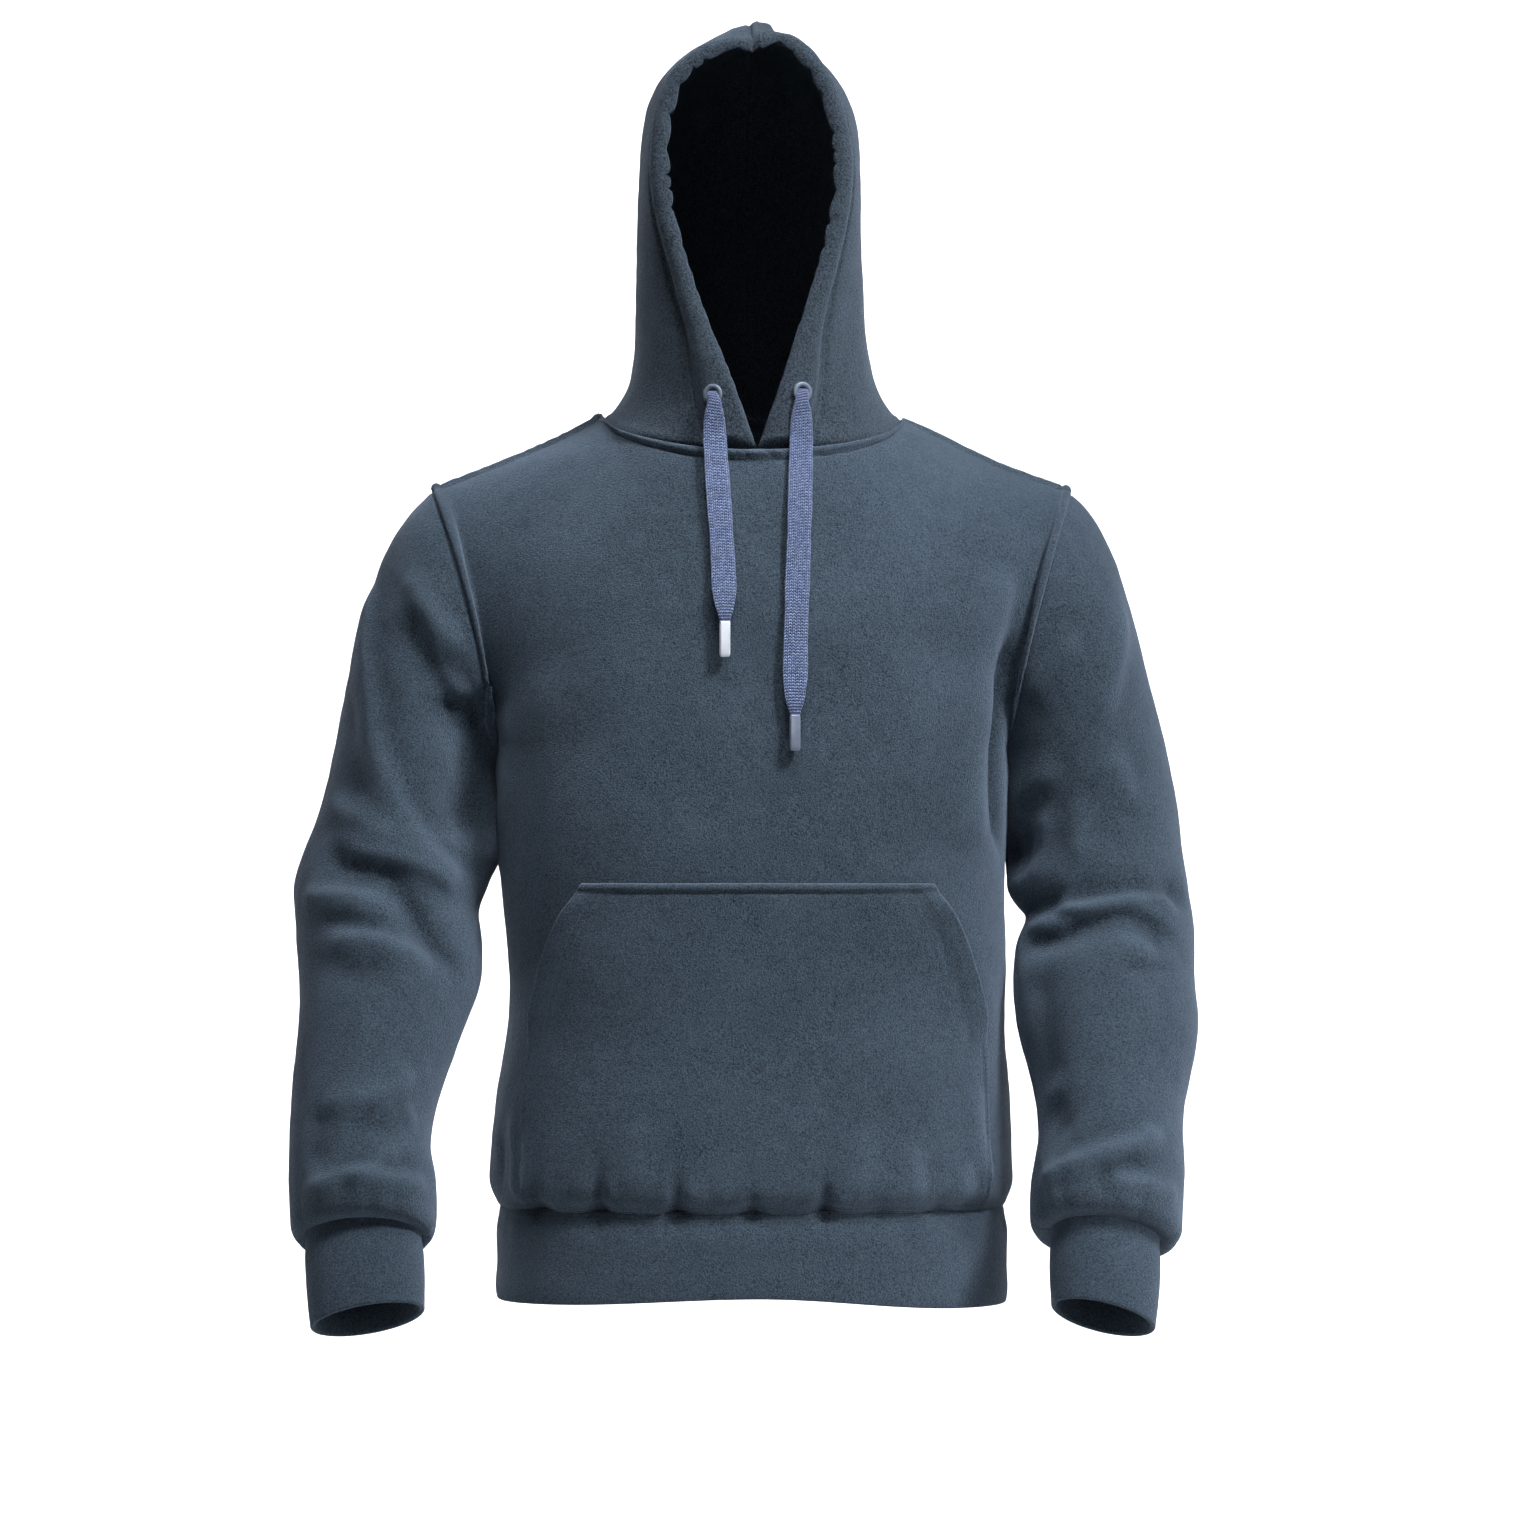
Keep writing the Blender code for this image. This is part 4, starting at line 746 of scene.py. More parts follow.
class Panel:
    """One piece of cloth: a grid of outer points, rows along it and columns across it."""

    def __init__(self, name, points, closed=False, turn=1):
        self.name = name
        self.points = points
        self.closed = closed
        self.turn = turn
        # painted fold shading: the colour is painted lighter on fold crests and darker in hollows
        self.crest = np.zeros(points.shape[:2])
        self.wall = np.full(points.shape[:2], WALL)
        across = np.linalg.norm(np.diff(points, axis=1), axis=2)
        along = np.linalg.norm(np.diff(points, axis=0), axis=2)
        self.left = np.pad(np.cumsum(across, axis=1), ((0, 0), (1, 0)))
        self.right = self.left[:, -1:] - self.left
        self.low = np.pad(np.cumsum(along, axis=0), ((1, 0), (0, 0)))
        self.high = self.low[-1:] - self.low

    def facing(self):
        """Outward direction at every point."""
        return grid_normals(self.points, self.closed) * self.turn

    def edge_distance(self):
        """Distance of every point from the nearest edge."""
        ends = np.minimum(self.low, self.high)
        if self.closed:
            return ends
        return np.minimum(ends, np.minimum(self.left, self.right))


def even_steps(start, stop, spacing):
    """Numbers from start to stop, about a spacing apart, without the first."""
    count = max(1, round(abs(stop - start) / spacing))
    return np.linspace(start, stop, count + 1)[1:]


# %% [markdown]
# ## Front and back
# A body panel is built in two stretches. Below the armpit each row is half of a rounded
# rectangle, at the width and depth of its level. Above it, the rows bend over the chest and
# lean into the armhole on one side and the neck on the other, like cloth over shoulders.


# %% Body panels
def hood_halves(level):
    """Face-to-side and side-to-back curves of one hood level, on the +X half."""
    face = np.array([level.face_x, level.face_y, level.face_z])
    side = np.array([level.side_x, level.side_y, level.side_z])
    back = np.array([0.0, level.back_y, level.back_z])
    turn = math.radians(level.turn)
    chord = np.linalg.norm(side - face)
    leave = face + 0.42 * chord * np.array([math.cos(turn), math.sin(turn), 0.0])
    arrive = side - np.array([0.0, 0.42 * chord, 0.0])
    front = bezier(face, leave, arrive, side)
    depth = back[1] - side[1]
    behind = bezier(side, side + np.array([0.0, 0.58 * depth, 0.0]),
                    back + np.array([0.60 * level.side_x, 0.0, 0.0]), back)
    part = lengths(front) / lengths(front)[-1] * math.pi / 2
    rise = (1 - level.ease) * (1 - np.cos(part)) + level.ease * np.sin(part)
    front[:, 2] = level.face_z + (level.side_z - level.face_z) * rise
    part = lengths(behind) / lengths(behind)[-1]
    behind[:, 2] = level.side_z + (level.back_z - level.side_z) * ease(part)
    return front, behind


def armhole(turn, side, face):
    """Armhole point at an angle from the shoulder tip; face is -1 in front, +1 behind."""
    x = ((SHOULDER_TIP[0] + ARMPIT_X) / 2 + (SHOULDER_TIP[0] - ARMPIT_X) / 2 * np.cos(turn)
         - ARMHOLE_BOW * np.sin(turn) ** 2)
    y = SIDE_Y + face * ARMHOLE_DEPTH * np.abs(np.sin(turn))
    z = (SHOULDER_TIP[2] + ARMPIT_Z) / 2 + (SHOULDER_TIP[2] - ARMPIT_Z) / 2 * np.cos(turn)
    return np.stack([side * x, y, z], axis=-1)


def section_distances(level_z, curve, face):
    """Distances from the side seam to each named column, over half a panel."""
    total = lengths(curve)[-1]
    if face < 0:
        guide_x = column(POCKET_SIDE, "half_width", level_z)
        guide = float(np.interp(-guide_x, -curve[:, 0], lengths(curve)))
    else:
        guide = total * 0.52
    inner = 7 if face < 0 else 5
    return np.concatenate([[0.0, 0.0085], np.linspace(0.011, guide, 4),
                           np.linspace(guide, total, inner + 1)[1:]])


def body_section(level_z, face, columns):
    """Half a panel at one height, from the +X side seam to the centre line."""
    half_width = column(BODY, "half_width", level_z)
    depth = column(BODY, "front" if face < 0 else "back", level_z)
    power = 2.0 / column(BODY, "squareness", level_z)
    angle = np.linspace(math.pi / 2, 0.0, 361)
    curve = np.stack([half_width * np.abs(np.sin(angle)) ** power,
                      SIDE_Y + face * depth * np.abs(np.cos(angle)) ** power,
                      np.full_like(angle, level_z)], axis=1)
    named = section_distances(level_z, curve, face)
    return walk(curve, np.interp(columns, np.arange(len(named)), named))


def top_edge(face, columns):
    """Shoulder seam and neckline of half a panel, from the +X shoulder tip to the centre."""
    front, behind = hood_halves(HOOD[0])
    neck = front[::-1] if face < 0 else behind
    tip = np.array(SHOULDER_TIP)
    part = np.linspace(0.0, 1.0, 60)[:, None]
    seam = tip + (neck[0] - tip) * part
    seam[:, 2] -= 0.0030 * np.sin(math.pi * part[:, 0])
    shoulder = np.concatenate([[0.0, 0.0085], np.linspace(0.011, lengths(seam)[-1], 4)])
    total = lengths(neck)[-1]
    if face < 0:
        casing = np.array(CASING_ACROSS) * HOOD[0].casing
        around = total - np.concatenate([casing, np.linspace(casing[-1], total, 4)[1:]])[::-1]
    else:
        around = np.linspace(0.0, total, 6)
    outer = columns[columns <= 5]
    inner = columns[columns > 5]
    return np.concatenate([walk(seam, np.interp(outer, np.arange(6), shoulder)),
                           walk(neck, np.interp(inner, 5 + np.arange(len(around)), around))])


def body_panel(face):
    """Outer points of a whole panel: rows from hem to shoulder, columns left to right."""
    last = 12 if face < 0 else 10
    seam = np.interp(SEAM_STEPS, [0.0, 0.0085, 0.0110], [0.0, 1.0, 2.0])
    columns = np.concatenate([seam, np.linspace(2, 5, 33)[1:],
                              np.linspace(5, last, 61)[1:]])
    heights = np.concatenate([HEM_Z + np.array(SEAM_STEPS),
                              even_steps(HEM_Z + 0.011, POCKET_TOP_Z, 0.0040),
                              even_steps(POCKET_TOP_Z, ARMPIT_Z, 0.0040)])
    lower = np.stack([body_section(z, face, columns) for z in heights])
    chest, top = lower[-1], top_edge(face, columns)
    past_neck = np.clip((columns - 5) / (last - 5), 0.0, 1.0)
    end = np.radians(88.0 - (30.0 if face < 0 else 22.0) * ease(past_neck))
    hold = ease(1.0 - columns / last / 0.5)[:, None]
    near_top = 1.0 - np.array(SEAM_STEPS)[::-1] * 0.029 / 0.0085
    upper = []
    for part in np.concatenate([even_steps(0.0, near_top[0], 0.0145), near_top[1:]]):
        rise = (np.sin(part * end) / np.sin(end))[:, None]
        back = ((np.cos(part * end) - np.cos(end)) / (1 - np.cos(end)))[:, None]
        row = chest + (top - chest) * rise
        row[:, 1:2] = top[:, 1:2] + (chest[:, 1:2] - top[:, 1:2]) * back
        edge = armhole(math.pi * (1 - part), 1, face)
        upper.append(row + (edge - row[0]) * hold)
    half = np.concatenate([lower, np.stack(upper)])
    half[:, -1, 0] = 0.0
    inward = lengths(half[len(lower) - 1])
    down = np.linalg.norm(half - half[-1], axis=2)
    free = ease(down / 0.06) * ease((inward - 0.011) / 0.03)
    free[:len(lower)] = 0.0
    free[len(lower):] *= ease((half[len(lower):, :1, 2] - ARMPIT_Z) / 0.03)
    for _ in range(150):
        wide = np.concatenate([half, half[:, -2:-1] * np.array([-1.0, 1.0, 1.0])], axis=1)
        even = (wide[:, :-2] + wide[:, 2:]) / 2
        half[:, 1:] += (even - half[:, 1:]) * 0.5 * free[:, 1:, None]
    mirrored = half * np.array([-1.0, 1.0, 1.0])
    if face < 0:
        return np.concatenate([mirrored[:, :-1], half[:, ::-1]], axis=1)
    return np.concatenate([half[:, :-1], mirrored[:, ::-1]], axis=1)


front = Panel("front", body_panel(-1))
back = Panel("back", body_panel(1))
print("front grid", front.points.shape, "back grid", back.points.shape)

# %% [markdown]
# ## Sleeves
# A sleeve is a tube of rings from the armhole down to the wrist. It hangs a little forward of
# the elbow, and at the end it blouses: the wide tube rolls over and turns in to meet the narrow
# cuff, so that the cloth makes a soft rounded rim there.

# %% Sleeve and cuff tubes
ROUND = np.linspace(0.0, 2 * math.pi, 136, endpoint=False)
RING_NUMBERS = np.linspace(0, 15, 151)


def ring_points(ring, side, turns):
    """Points round one ring; turn 0 is the outer point and a quarter turn is the front."""
    outer = np.array([side * ring.outer_x, ring.mid_y, ring.outer_z])
    inner = np.array([side * ring.inner_x, ring.mid_y, ring.inner_z])
    reach = (outer - inner) / 2
    tilt = math.radians(ring.tilt)
    depth = np.array([0.0, -math.cos(tilt), math.sin(tilt)])
    depth = unit(depth - unit(reach) * np.dot(depth, unit(reach))) * ring.half_depth
    return ((outer + inner) / 2 + np.cos(turns)[:, None] * reach
            + np.sin(turns)[:, None] * depth)


def sleeve_run(sleeve):
    """Way down a sleeve's middle line at each of the ring numbers."""
    return lengths(np.array([
        ring_points(row_at(sleeve.rings, number), sleeve.side, ROUND).mean(axis=0)
        for number in RING_NUMBERS]))

SLEEVE_RUN = {sleeve.name: sleeve_run(sleeve) for sleeve in SLEEVES}


def sleeve_tube(sleeve):
    """A sleeve's outer points from the armhole to the end of its roll, and its cuff's."""
    travelled = SLEEVE_RUN[sleeve.name]
    where = np.concatenate([SEAM_STEPS, even_steps(0.011, travelled[-1], 0.0034)])
    numbers = np.interp(where, travelled, RING_NUMBERS)
    on_armhole = np.where((ROUND <= math.pi)[:, None], armhole(ROUND, sleeve.side, -1),
                          armhole(ROUND, sleeve.side, 1))
    bow = on_armhole - ring_points(sleeve.rings[0], sleeve.side, ROUND)
    rows = [ring_points(row_at(sleeve.rings, number), sleeve.side, ROUND)
            + bow * ease(1 - number / 0.577) for number in numbers]
    full = np.exp(-((np.degrees(ROUND) - 164) / 30.0) ** 2)
    for row, down in zip(rows, where):
        amount = ease(down / 0.012) * (1 - 0.45 * ease((down - 0.19) / 0.05)
                                                - 0.55 * ease((down - 0.33) / 0.06))
        row[:, 0] -= sleeve.side * UNDERARM_FULLNESS * amount * full

    foot = sleeve.foot
    low = np.array([sleeve.side * (foot.outer_x + foot.inner_x) / 2, foot.mid_y,
                    (foot.outer_z + foot.inner_z) / 2])
    middle = rows[-1].mean(axis=0)
    axis = unit(low - middle)
    wide = rows[-1] - middle
    across = unit(wide[0])
    sideways = np.outer(wide @ across, across)
    last = sleeve.rings[-1]
    narrow = (sleeve.cuff_half_width / ((last.outer_x - last.inner_x) / 2),
              CUFF_HALF_DEPTH / last.half_depth)

    def shrunk(part):
        return (sideways * (narrow[0] + (1 - narrow[0]) * part)
                + (wide - sideways) * (narrow[1] + (1 - narrow[1]) * part))

    for turn in np.linspace(0.0, 1.0, 15)[1:]:
        size = math.cos(turn * math.pi / 2) ** 0.8 if turn < 1 else 0.0
        rows.append(middle + shrunk(size)
                    + axis * BLOUSE_DROP * math.sin(math.radians(112.0) * turn))

    head = middle + shrunk(0.0) + axis * (BLOUSE_DROP - CUFF_TUCK)
    bottom = ring_points(foot, sleeve.side, ROUND)
    cuff = []
    parts = np.concatenate([[0.0, 0.03, 0.06], np.linspace(0.10, 0.90, 24),
                            [0.925, 0.945, 0.96, 0.972, 0.982, 0.990, 0.996, 1.0]])
    for part in parts:
        row = head * (1 - part) + bottom * part
        centre = row.mean(axis=0)
        swell = 1.0 + 0.035 * math.sin(math.pi * min(part, 0.95)) * float(ease((part - 0.06) / 0.2))
        cuff.append(centre + (row - centre) * swell)
    return np.array(rows), np.array(cuff)


tubes = {}
for sleeve in SLEEVES:
    tube, cuff = sleeve_tube(sleeve)
    tubes["sleeve_" + sleeve.name] = Panel("sleeve_" + sleeve.name, tube, True, sleeve.side)
    tubes["cuff_" + sleeve.name] = Panel("cuff_" + sleeve.name, cuff, True, sleeve.side)
    print("sleeve", sleeve.name, "grid", tube.shape, "cuff grid", cuff.shape)

# %% [markdown]
# ## Hood
# Two mirrored halves meet on a seam over the crown and down the back of the head. Each row of a
# half runs from the face opening round the side to that seam.


# %% Hood halves
def hood_row_numbers():
    """Level numbers of the hood's rows, evenly spaced along the cloth."""
    numbers = np.linspace(0, len(HOOD) - 1, 281)
    halves = [hood_halves(row_at(HOOD, number)) for number in numbers]
    sides = np.array([pair[0][-1] for pair in halves])
    faces = np.array([pair[0][0] for pair in halves])
    travelled = (lengths(sides) + lengths(faces)) / 2
    total = travelled[-1]
    where = np.concatenate([SEAM_STEPS, even_steps(0.011, total - 0.011, 0.0036),
                            total - np.array(SEAM_STEPS)[-2::-1]])
    return np.interp(where, travelled, numbers)


def hood_half(numbers):
    """Outer points of the +X hood half: rows from the neck seam up, columns face to back."""
    edge = np.array([0.0, 0.0005, 0.0011, 0.0018, 0.0027, 0.0038, 0.0052])
    grid = []
    for number in numbers:
        front_curve, behind = hood_halves(row_at(HOOD, number))
        reach, depth = lengths(front_curve)[-1], lengths(behind)[-1]
        share = min(1.0, reach / 0.06)
        steps = np.concatenate([edge * share,
                                np.linspace(edge[-1] * share, reach, 53)[1:]])
        seam = np.array(SEAM_STEPS) * min(1.0, depth / 0.05)
        rear = np.concatenate([np.linspace(0.0, depth - seam[-1], 28),
                               depth - seam[-2::-1]])
        grid.append(np.concatenate([walk(front_curve, steps), walk(behind, rear[1:])]))
    grid = np.array(grid)
    for _ in range(60):
        even = (grid[:-2] + grid[2:]) / 2
        grid[12:-12] += (even[11:-11] - grid[12:-12]) * 0.5
    slim = OPENING_EASE * ease((grid[:, :1, 2] - 0.05) / 0.08) * ease((0.272 - grid[:, :1, 2]) / 0.03)
    apart = np.linalg.norm(grid - grid[:, :1], axis=2)
    grid[..., 0] += slim * hill(apart, 0.0, 0.020)
    grid[:, -1, 0] = 0.0
    grid[-1, :, 0] = 0.0
    return grid


HOOD_NUMBERS = hood_row_numbers()
CASING_WIDTH = smooth(np.arange(len(HOOD)), [level.casing for level in HOOD], HOOD_NUMBERS)
hood_left = Panel("hood_left", hood_half(HOOD_NUMBERS))
hood_right = Panel("hood_right", hood_left.points * np.array([-1.0, 1.0, 1.0]), turn=-1)
print("hood half grid", hood_left.points.shape)

# %% [markdown]
# ## Hem band
# A doubled band of rib, cut shorter than the body's edge, pulls the hem in. It follows the
# lower edge of both panels round the body, then curves in a little lower down.


# %% Hem band tube
def hem_band():
    """Outer points of the hem band, from its folded edge up to the seam."""
    around = np.concatenate([front.points[0], back.points[0, 1:-1]])
    heights = [level.height for level in HEM_BAND]
    rows = []
    fold = [-0.6842, -0.6854, -0.6864, -0.6872, -0.6878, -0.6882, -0.6885]
    for z in np.concatenate([HEM_Z - np.array(SEAM_STEPS),
                             even_steps(HEM_Z - 0.011, -0.6830, 0.0036), fold]):
        spread = smooth(heights[::-1], [level.spread for level in HEM_BAND][::-1], z)
        row = around.copy()
        row[:, 0] *= spread
        row[:, 1] = SIDE_Y + (row[:, 1] - SIDE_Y) * spread
        drop = float(ease((HEM_Z - z) / 0.06))
        arch = hill(row[:, 0], 0.0, 0.120) * (row[:, 1] < SIDE_Y)
        row[:, 2] = z + drop * (0.0075 * arch - 0.0040 * ease(row[:, 0] / 0.16))
        rows.append(row)
    return np.array(rows[::-1])


hem = Panel("hem_band", hem_band(), True)
hem.wall[:] = RIB_WALL
panels = [front, back, *tubes.values(), hood_left, hood_right, hem]
print("hem band grid", hem.points.shape)

# %% [markdown]
# ## Creases
# Thick fleece doesn't wrinkle finely; it buckles into a few soft folds where an arm bends, under
# the arm, above the cuffs and at the gathered hem. A crease here is a listed line on the
# cloth with its own height and its own width on either side, so that one flank can be steep
# and the other gentle. Negative heights are troughs. Sleeve lines give the angle round the
# sleeve (nought outside, 90 in front, 180 inside) and the way down from the armhole; body lines
# give x and z; hood lines give the level and the way round from face (0) over side (1) to
# back (2).

# %% Table of creases
Crease = namedtuple("Crease", "where path left right height fade")
CREASE_TABLE = {
    "sleeve_right": (
        # right sleeve, upper arm: a broad fold from the shoulder to the elbow
        (((12, .052), (22, .069), (32, .089), (46, .106), (58, .127), (72, .146), (86, .164),
          (104, .182), (124, .197), (150, .216)), .009, .024, .0062, .03),
        (((20, .115), (40, .138), (58, .164), (66, .18)), .01, .016, -.004, .03),
        (((20, .18), (54, .184), (82, .188), (98, .188)), .01, .01, .003, .03),
        # right sleeve, upper arm: a wedge below the shoulder, and the hollow under the arm
        (((54, .044), (74, .049), (92, .051), (110, .048), (132, .041)), .01, .02, -.0076, .03),
        (((44, .034), (72, .027), (92, .017), (106, .005)), .01, .01, .0034, .02),
        (((88, .04), (106, .022), (122, .008)), .008, .008, -.0022, .015),
        (((118, .004), (128, .018), (134, .08), (134, .168)), .024, .028, -.0105, .03),
        # right sleeve, elbow
        (((58, .209), (90, .206), (114, .206), (142, .221)), .016, .007, .004, .02),
        (((40, .204), (59, .221), (80, .226), (96, .228), (108, .25), (124, .286), (154, .308)),
          .01, .015, -.0066, .03),
        (((102, .239), (119, .271), (142, .296)), .016, .017, -.006, .03),
        (((24, .246), (66, .25), (92, .253)), .008, .012, .0045, .02),
        (((36, .271), (74, .273), (100, .276)), .007, .008, -.003, .03),
        (((48, .286), (80, .288), (106, .296), (128, .303)), .009, .01, .0045, .02),
        (((40, .305), (74, .315), (100, .313)), .009, .013, -.003, .03),
        # right sleeve, above the cuff
        (((59, .412), (82, .42), (110, .412), (136, .387)), .018, .01, .0042, .02),
        (((80, .44), (112, .438), (126, .43)), .01, .014, -.003, .02),
        (((78, .49), (96, .481), (112, .468), (126, .457)), .007, .008, .0036, .015),
        (((126, .414), (136, .428), (146, .438)), .006, .006, .003, .012),
        (((62, .422), (56, .45), (52, .474)), .013, .013, -.0036, .015),
        (((36, .485), (66, .487), (82, .483), (106, .487), (128, .485), (156, .483)), .009, .008,
          .0052, .02),
        (((100, .48), (118, .469), (144, .468)), .007, .007, -.0028, .015),
        # right sleeve, back and inside
        (((345, .215), (310, .232), (270, .25), (225, .24)), .013, .016, -.0112, .03),
        (((338, .262), (300, .282), (262, .296), (222, .284)), .016, .012, .008, .03),
        (((320, .312), (285, .326), (250, .33)), .011, .013, -.0064, .025),
        (((312, .06), (292, .11), (262, .15), (232, .17)), .015, .012, -.0083, .03),
        (((300, .045), (268, .08), (238, .094)), .011, .013, .0058, .025),
        (((344, .47), (300, .455), (262, .436), (226, .448)), .01, .012, .0083, .03),
        (((330, .432), (294, .415), (262, .402)), .01, .009, -.0054, .025),
        (((268, .486), (232, .478), (196, .488)), .009, .009, .0067, .02),
    ),
    "sleeve_left": (
        # left sleeve, upper arm
        (((38, .049), (46, .067), (59, .081), (72, .092), (82, .107)), .01, .018, .0052, .03),
        (((76, .115), (74, .136), (70, .16), (68, .177)), .01, .015, .0036, .02),
        (((76, .042), (94, .026), (108, .014), (119, .006), (130, .004)), .016, .014, .0036, .02),
        (((108, .106), (122, .097), (142, .088), (164, .084)), .01, .014, .0042, .02),
        (((163, .104), (162, .15), (164, .205)), .027, .015, -.014, .03),
        (((130, .118), (134, .142), (138, .17), (148, .205)), .012, .007, .0036, .02),
        (((104, .13), (106, .166), (108, .211)), .016, .009, .003, .02),
        # left sleeve, elbow
        (((136, .239), (108, .252), (82, .247), (59, .245), (38, .259)), .016, .006, .007, .02),
        (((170, .262), (136, .276), (114, .271), (94, .266), (76, .266), (58, .276), (44, .286)),
          .008, .015, -.0092, .025),
        (((144, .288), (142, .331), (148, .377), (148, .411)), .02, .02, -.0056, .03),
        (((96, .288), (78, .291), (59, .298)), .01, .008, .003, .015),
        (((90, .312), (68, .309), (50, .305)), .005, .006, -.002, .015),
        # left sleeve, above the cuff
        (((150, .4), (144, .43), (128, .452)), .018, .016, -.0044, .02),
        (((164, .48), (136, .475), (104, .465), (72, .45), (52, .433)), .01, .009, .0068, .02),
        (((114, .482), (92, .473), (68, .46)), .008, .01, -.0034, .015),
        (((104, .485), (76, .483), (48, .483), (29, .486)), .009, .008, .0042, .015),
        # left sleeve, back and inside
        (((20, .24), (332, .238), (296, .252), (256, .262), (214, .256)), .012, .015, -.0112, .03),
        (((345, .288), (304, .3), (262, .31), (226, .296)), .014, .012, .0083, .03),
        (((325, .33), (290, .345), (250, .35)), .011, .013, -.0064, .025),
        (((306, .07), (284, .122), (252, .158), (226, .176)), .015, .012, -.0083, .03),
        (((296, .048), (262, .082), (232, .1)), .011, .013, .0058, .025),
        (((350, .43), (316, .448), (276, .462), (232, .47)), .01, .012, .0086, .03),
        (((330, .41), (296, .425), (258, .44)), .01, .009, -.0058, .025),
        (((282, .488), (242, .484), (204, .49)), .009, .009, .0064, .02),
    ),
    "front": (
        # body, front: the fold edge in front of the left arm, with its hollow, and soft pulls
        (((.2008, -.1176), (.1915, -.1446), (.1853, -.1709), (.176, -.2157), (.17, -.262),
          (.169, -.305), (.172, -.34)), .009, .024, .0055, .03),
        (((.1975, -.165), (.1925, -.21), (.189, -.26), (.189, -.31), (.192, -.345)), .011, .01,
          -.0115, .035),
        (((-.15, -.15), (-.142, -.227), (-.14, -.3)), .03, .03, -.003, .06),
        (((.112, -.17), (.124, -.26), (.116, -.35)), .034, .04, .0036, .08),
        (((0.0, -.14), (.006, -.24), (0.0, -.34)), .05, .05, -.0024, .08),
        (((.117, -.56), (.119, -.585), (.12, -.612)), .007, .009, .003, .015),
        (((.159, -.58), (.16, -.612)), .007, .007, .0026, .012),
        (((.166, -.515), (.171, -.56), (.176, -.6)), .006, .009, .0028, .02),
        (((-.188, -.54), (-.185, -.58), (-.18, -.612)), .009, .006, .0038, .02),
        (((-.196, -.55), (-.193, -.6)), .007, .007, -.0032, .02),
        (((-.092, -.6), (-.091, -.57), (-.088, -.54)), .014, .014, .002, .02),
        (((.078, -.602), (.08, -.57), (.083, -.54)), .014, .014, .0022, .02),
    ),
    "back": (
        # body, back: fullness over the waist and pulls from the shoulder blades
        (((-.165, -.47), (-.08, -.492), (.02, -.486), (.12, -.5)), .026, .02, .0046, .06),
        (((-.12, -.535), (-.03, -.545), (.07, -.538), (.15, -.552)), .02, .016, .004, .05),
        (((-.15, -.512), (-.06, -.522), (.03, -.514)), .014, .016, -.0036, .05),
        (((-.185, -.215), (-.13, -.27), (-.1, -.35), (-.09, -.43)), .026, .02, .0042, .06),
        (((.185, -.215), (.135, -.275), (.108, -.35), (.1, -.42)), .02, .026, .0042, .06),
        (((-.15, -.235), (-.112, -.3), (-.078, -.38)), .018, .02, -.0034, .05),
        (((.152, -.24), (.118, -.3), (.08, -.37)), .02, .018, -.0034, .05),
        (((-.06, -.06), (-.015, -.075), (.045, -.07)), .016, .02, .0026, .03),
    ),
    "hood_left": (
        # hood
        (((1.0, .55), (3.0, .62), (5.5, .7)), .018, .022, .003, .05),
        (((.8, 1.25), (2.6, 1.18), (4.6, 1.22)), .018, .022, -.0038, .04),
        (((1.6, 2.0), (1.9, 1.6), (1.6, 1.2)), .016, .012, .004, .04),
        (((3.4, 2.0), (3.7, 1.65), (3.2, 1.35)), .014, .014, -.0034, .04),
    ),
    "hood_right": (
        (((1.0, .55), (3.2, .6), (5.5, .68)), .022, .018, .003, .05),
        (((.8, 1.2), (2.4, 1.2), (4.8, 1.28)), .022, .018, -.0038, .04),
        (((1.6, 2.0), (2.0, 1.6), (1.7, 1.2)), .012, .016, .004, .04),
        (((3.2, 2.0), (3.5, 1.65), (3.1, 1.35)), .014, .014, -.0034, .04),
    ),
}
CREASES = [Crease(where, *row) for where, rows in CREASE_TABLE.items() for row in rows]
print("creases placed by hand:", len(CREASES))

# %% Put creases on the cloth
NAMED = {panel.name: panel for panel in panels}


def place_on_sleeve(sleeve, path):
    """Points at (angle, way down) on a sleeve's smooth form."""
    spots = []
    for angle, down in path:
        number = float(np.interp(down, SLEEVE_RUN[sleeve.name], RING_NUMBERS))
        ring = row_at(sleeve.rings, number)
        spots.append(ring_points(ring, sleeve.side, np.radians([angle]))[0])
    return np.array(spots)


def place_on_body(panel, path):
    """Points of a body panel at (x, z)."""
    flat = panel.points.reshape(-1, 3)
    return np.array([flat[np.argmin(np.hypot(flat[:, 0] - x, flat[:, 2] - z))]
                     for x, z in path])


def place_on_hood(side, path):
    """Points at (level, way round) on a hood half's smooth form."""
    spots = []
    for level, way in path:
        front_curve, behind = hood_halves(row_at(HOOD, level))
        curve, part = (front_curve, way) if way <= 1 else (behind, way - 1)
        spots.append(walk(curve, [lengths(curve)[-1] * part])[0])
    return np.array(spots) * np.array([side, 1.0, 1.0])


def crease_line(crease):
    """A crease's line as closely spaced points on the cloth."""
    if crease.where.startswith("sleeve"):
        sleeve = SLEEVES[0] if crease.where.endswith("right") else SLEEVES[1]
        path = np.array(crease.path)
        count = 12 * len(path)
        part = np.linspace(0, len(path) - 1, count)
        spread = np.stack([smooth(np.arange(len(path)), path[:, axis], part)
                           for axis in (0, 1)], axis=1)
        return fine_curve(place_on_sleeve(sleeve, spread), 0.0016)
    if crease.where.startswith("hood"):
        side = -1 if crease.where.endswith("right") else 1
        return fine_curve(place_on_hood(side, crease.path), 0.0016)
    return fine_curve(place_on_body(NAMED[crease.where], crease.path), 0.0016)


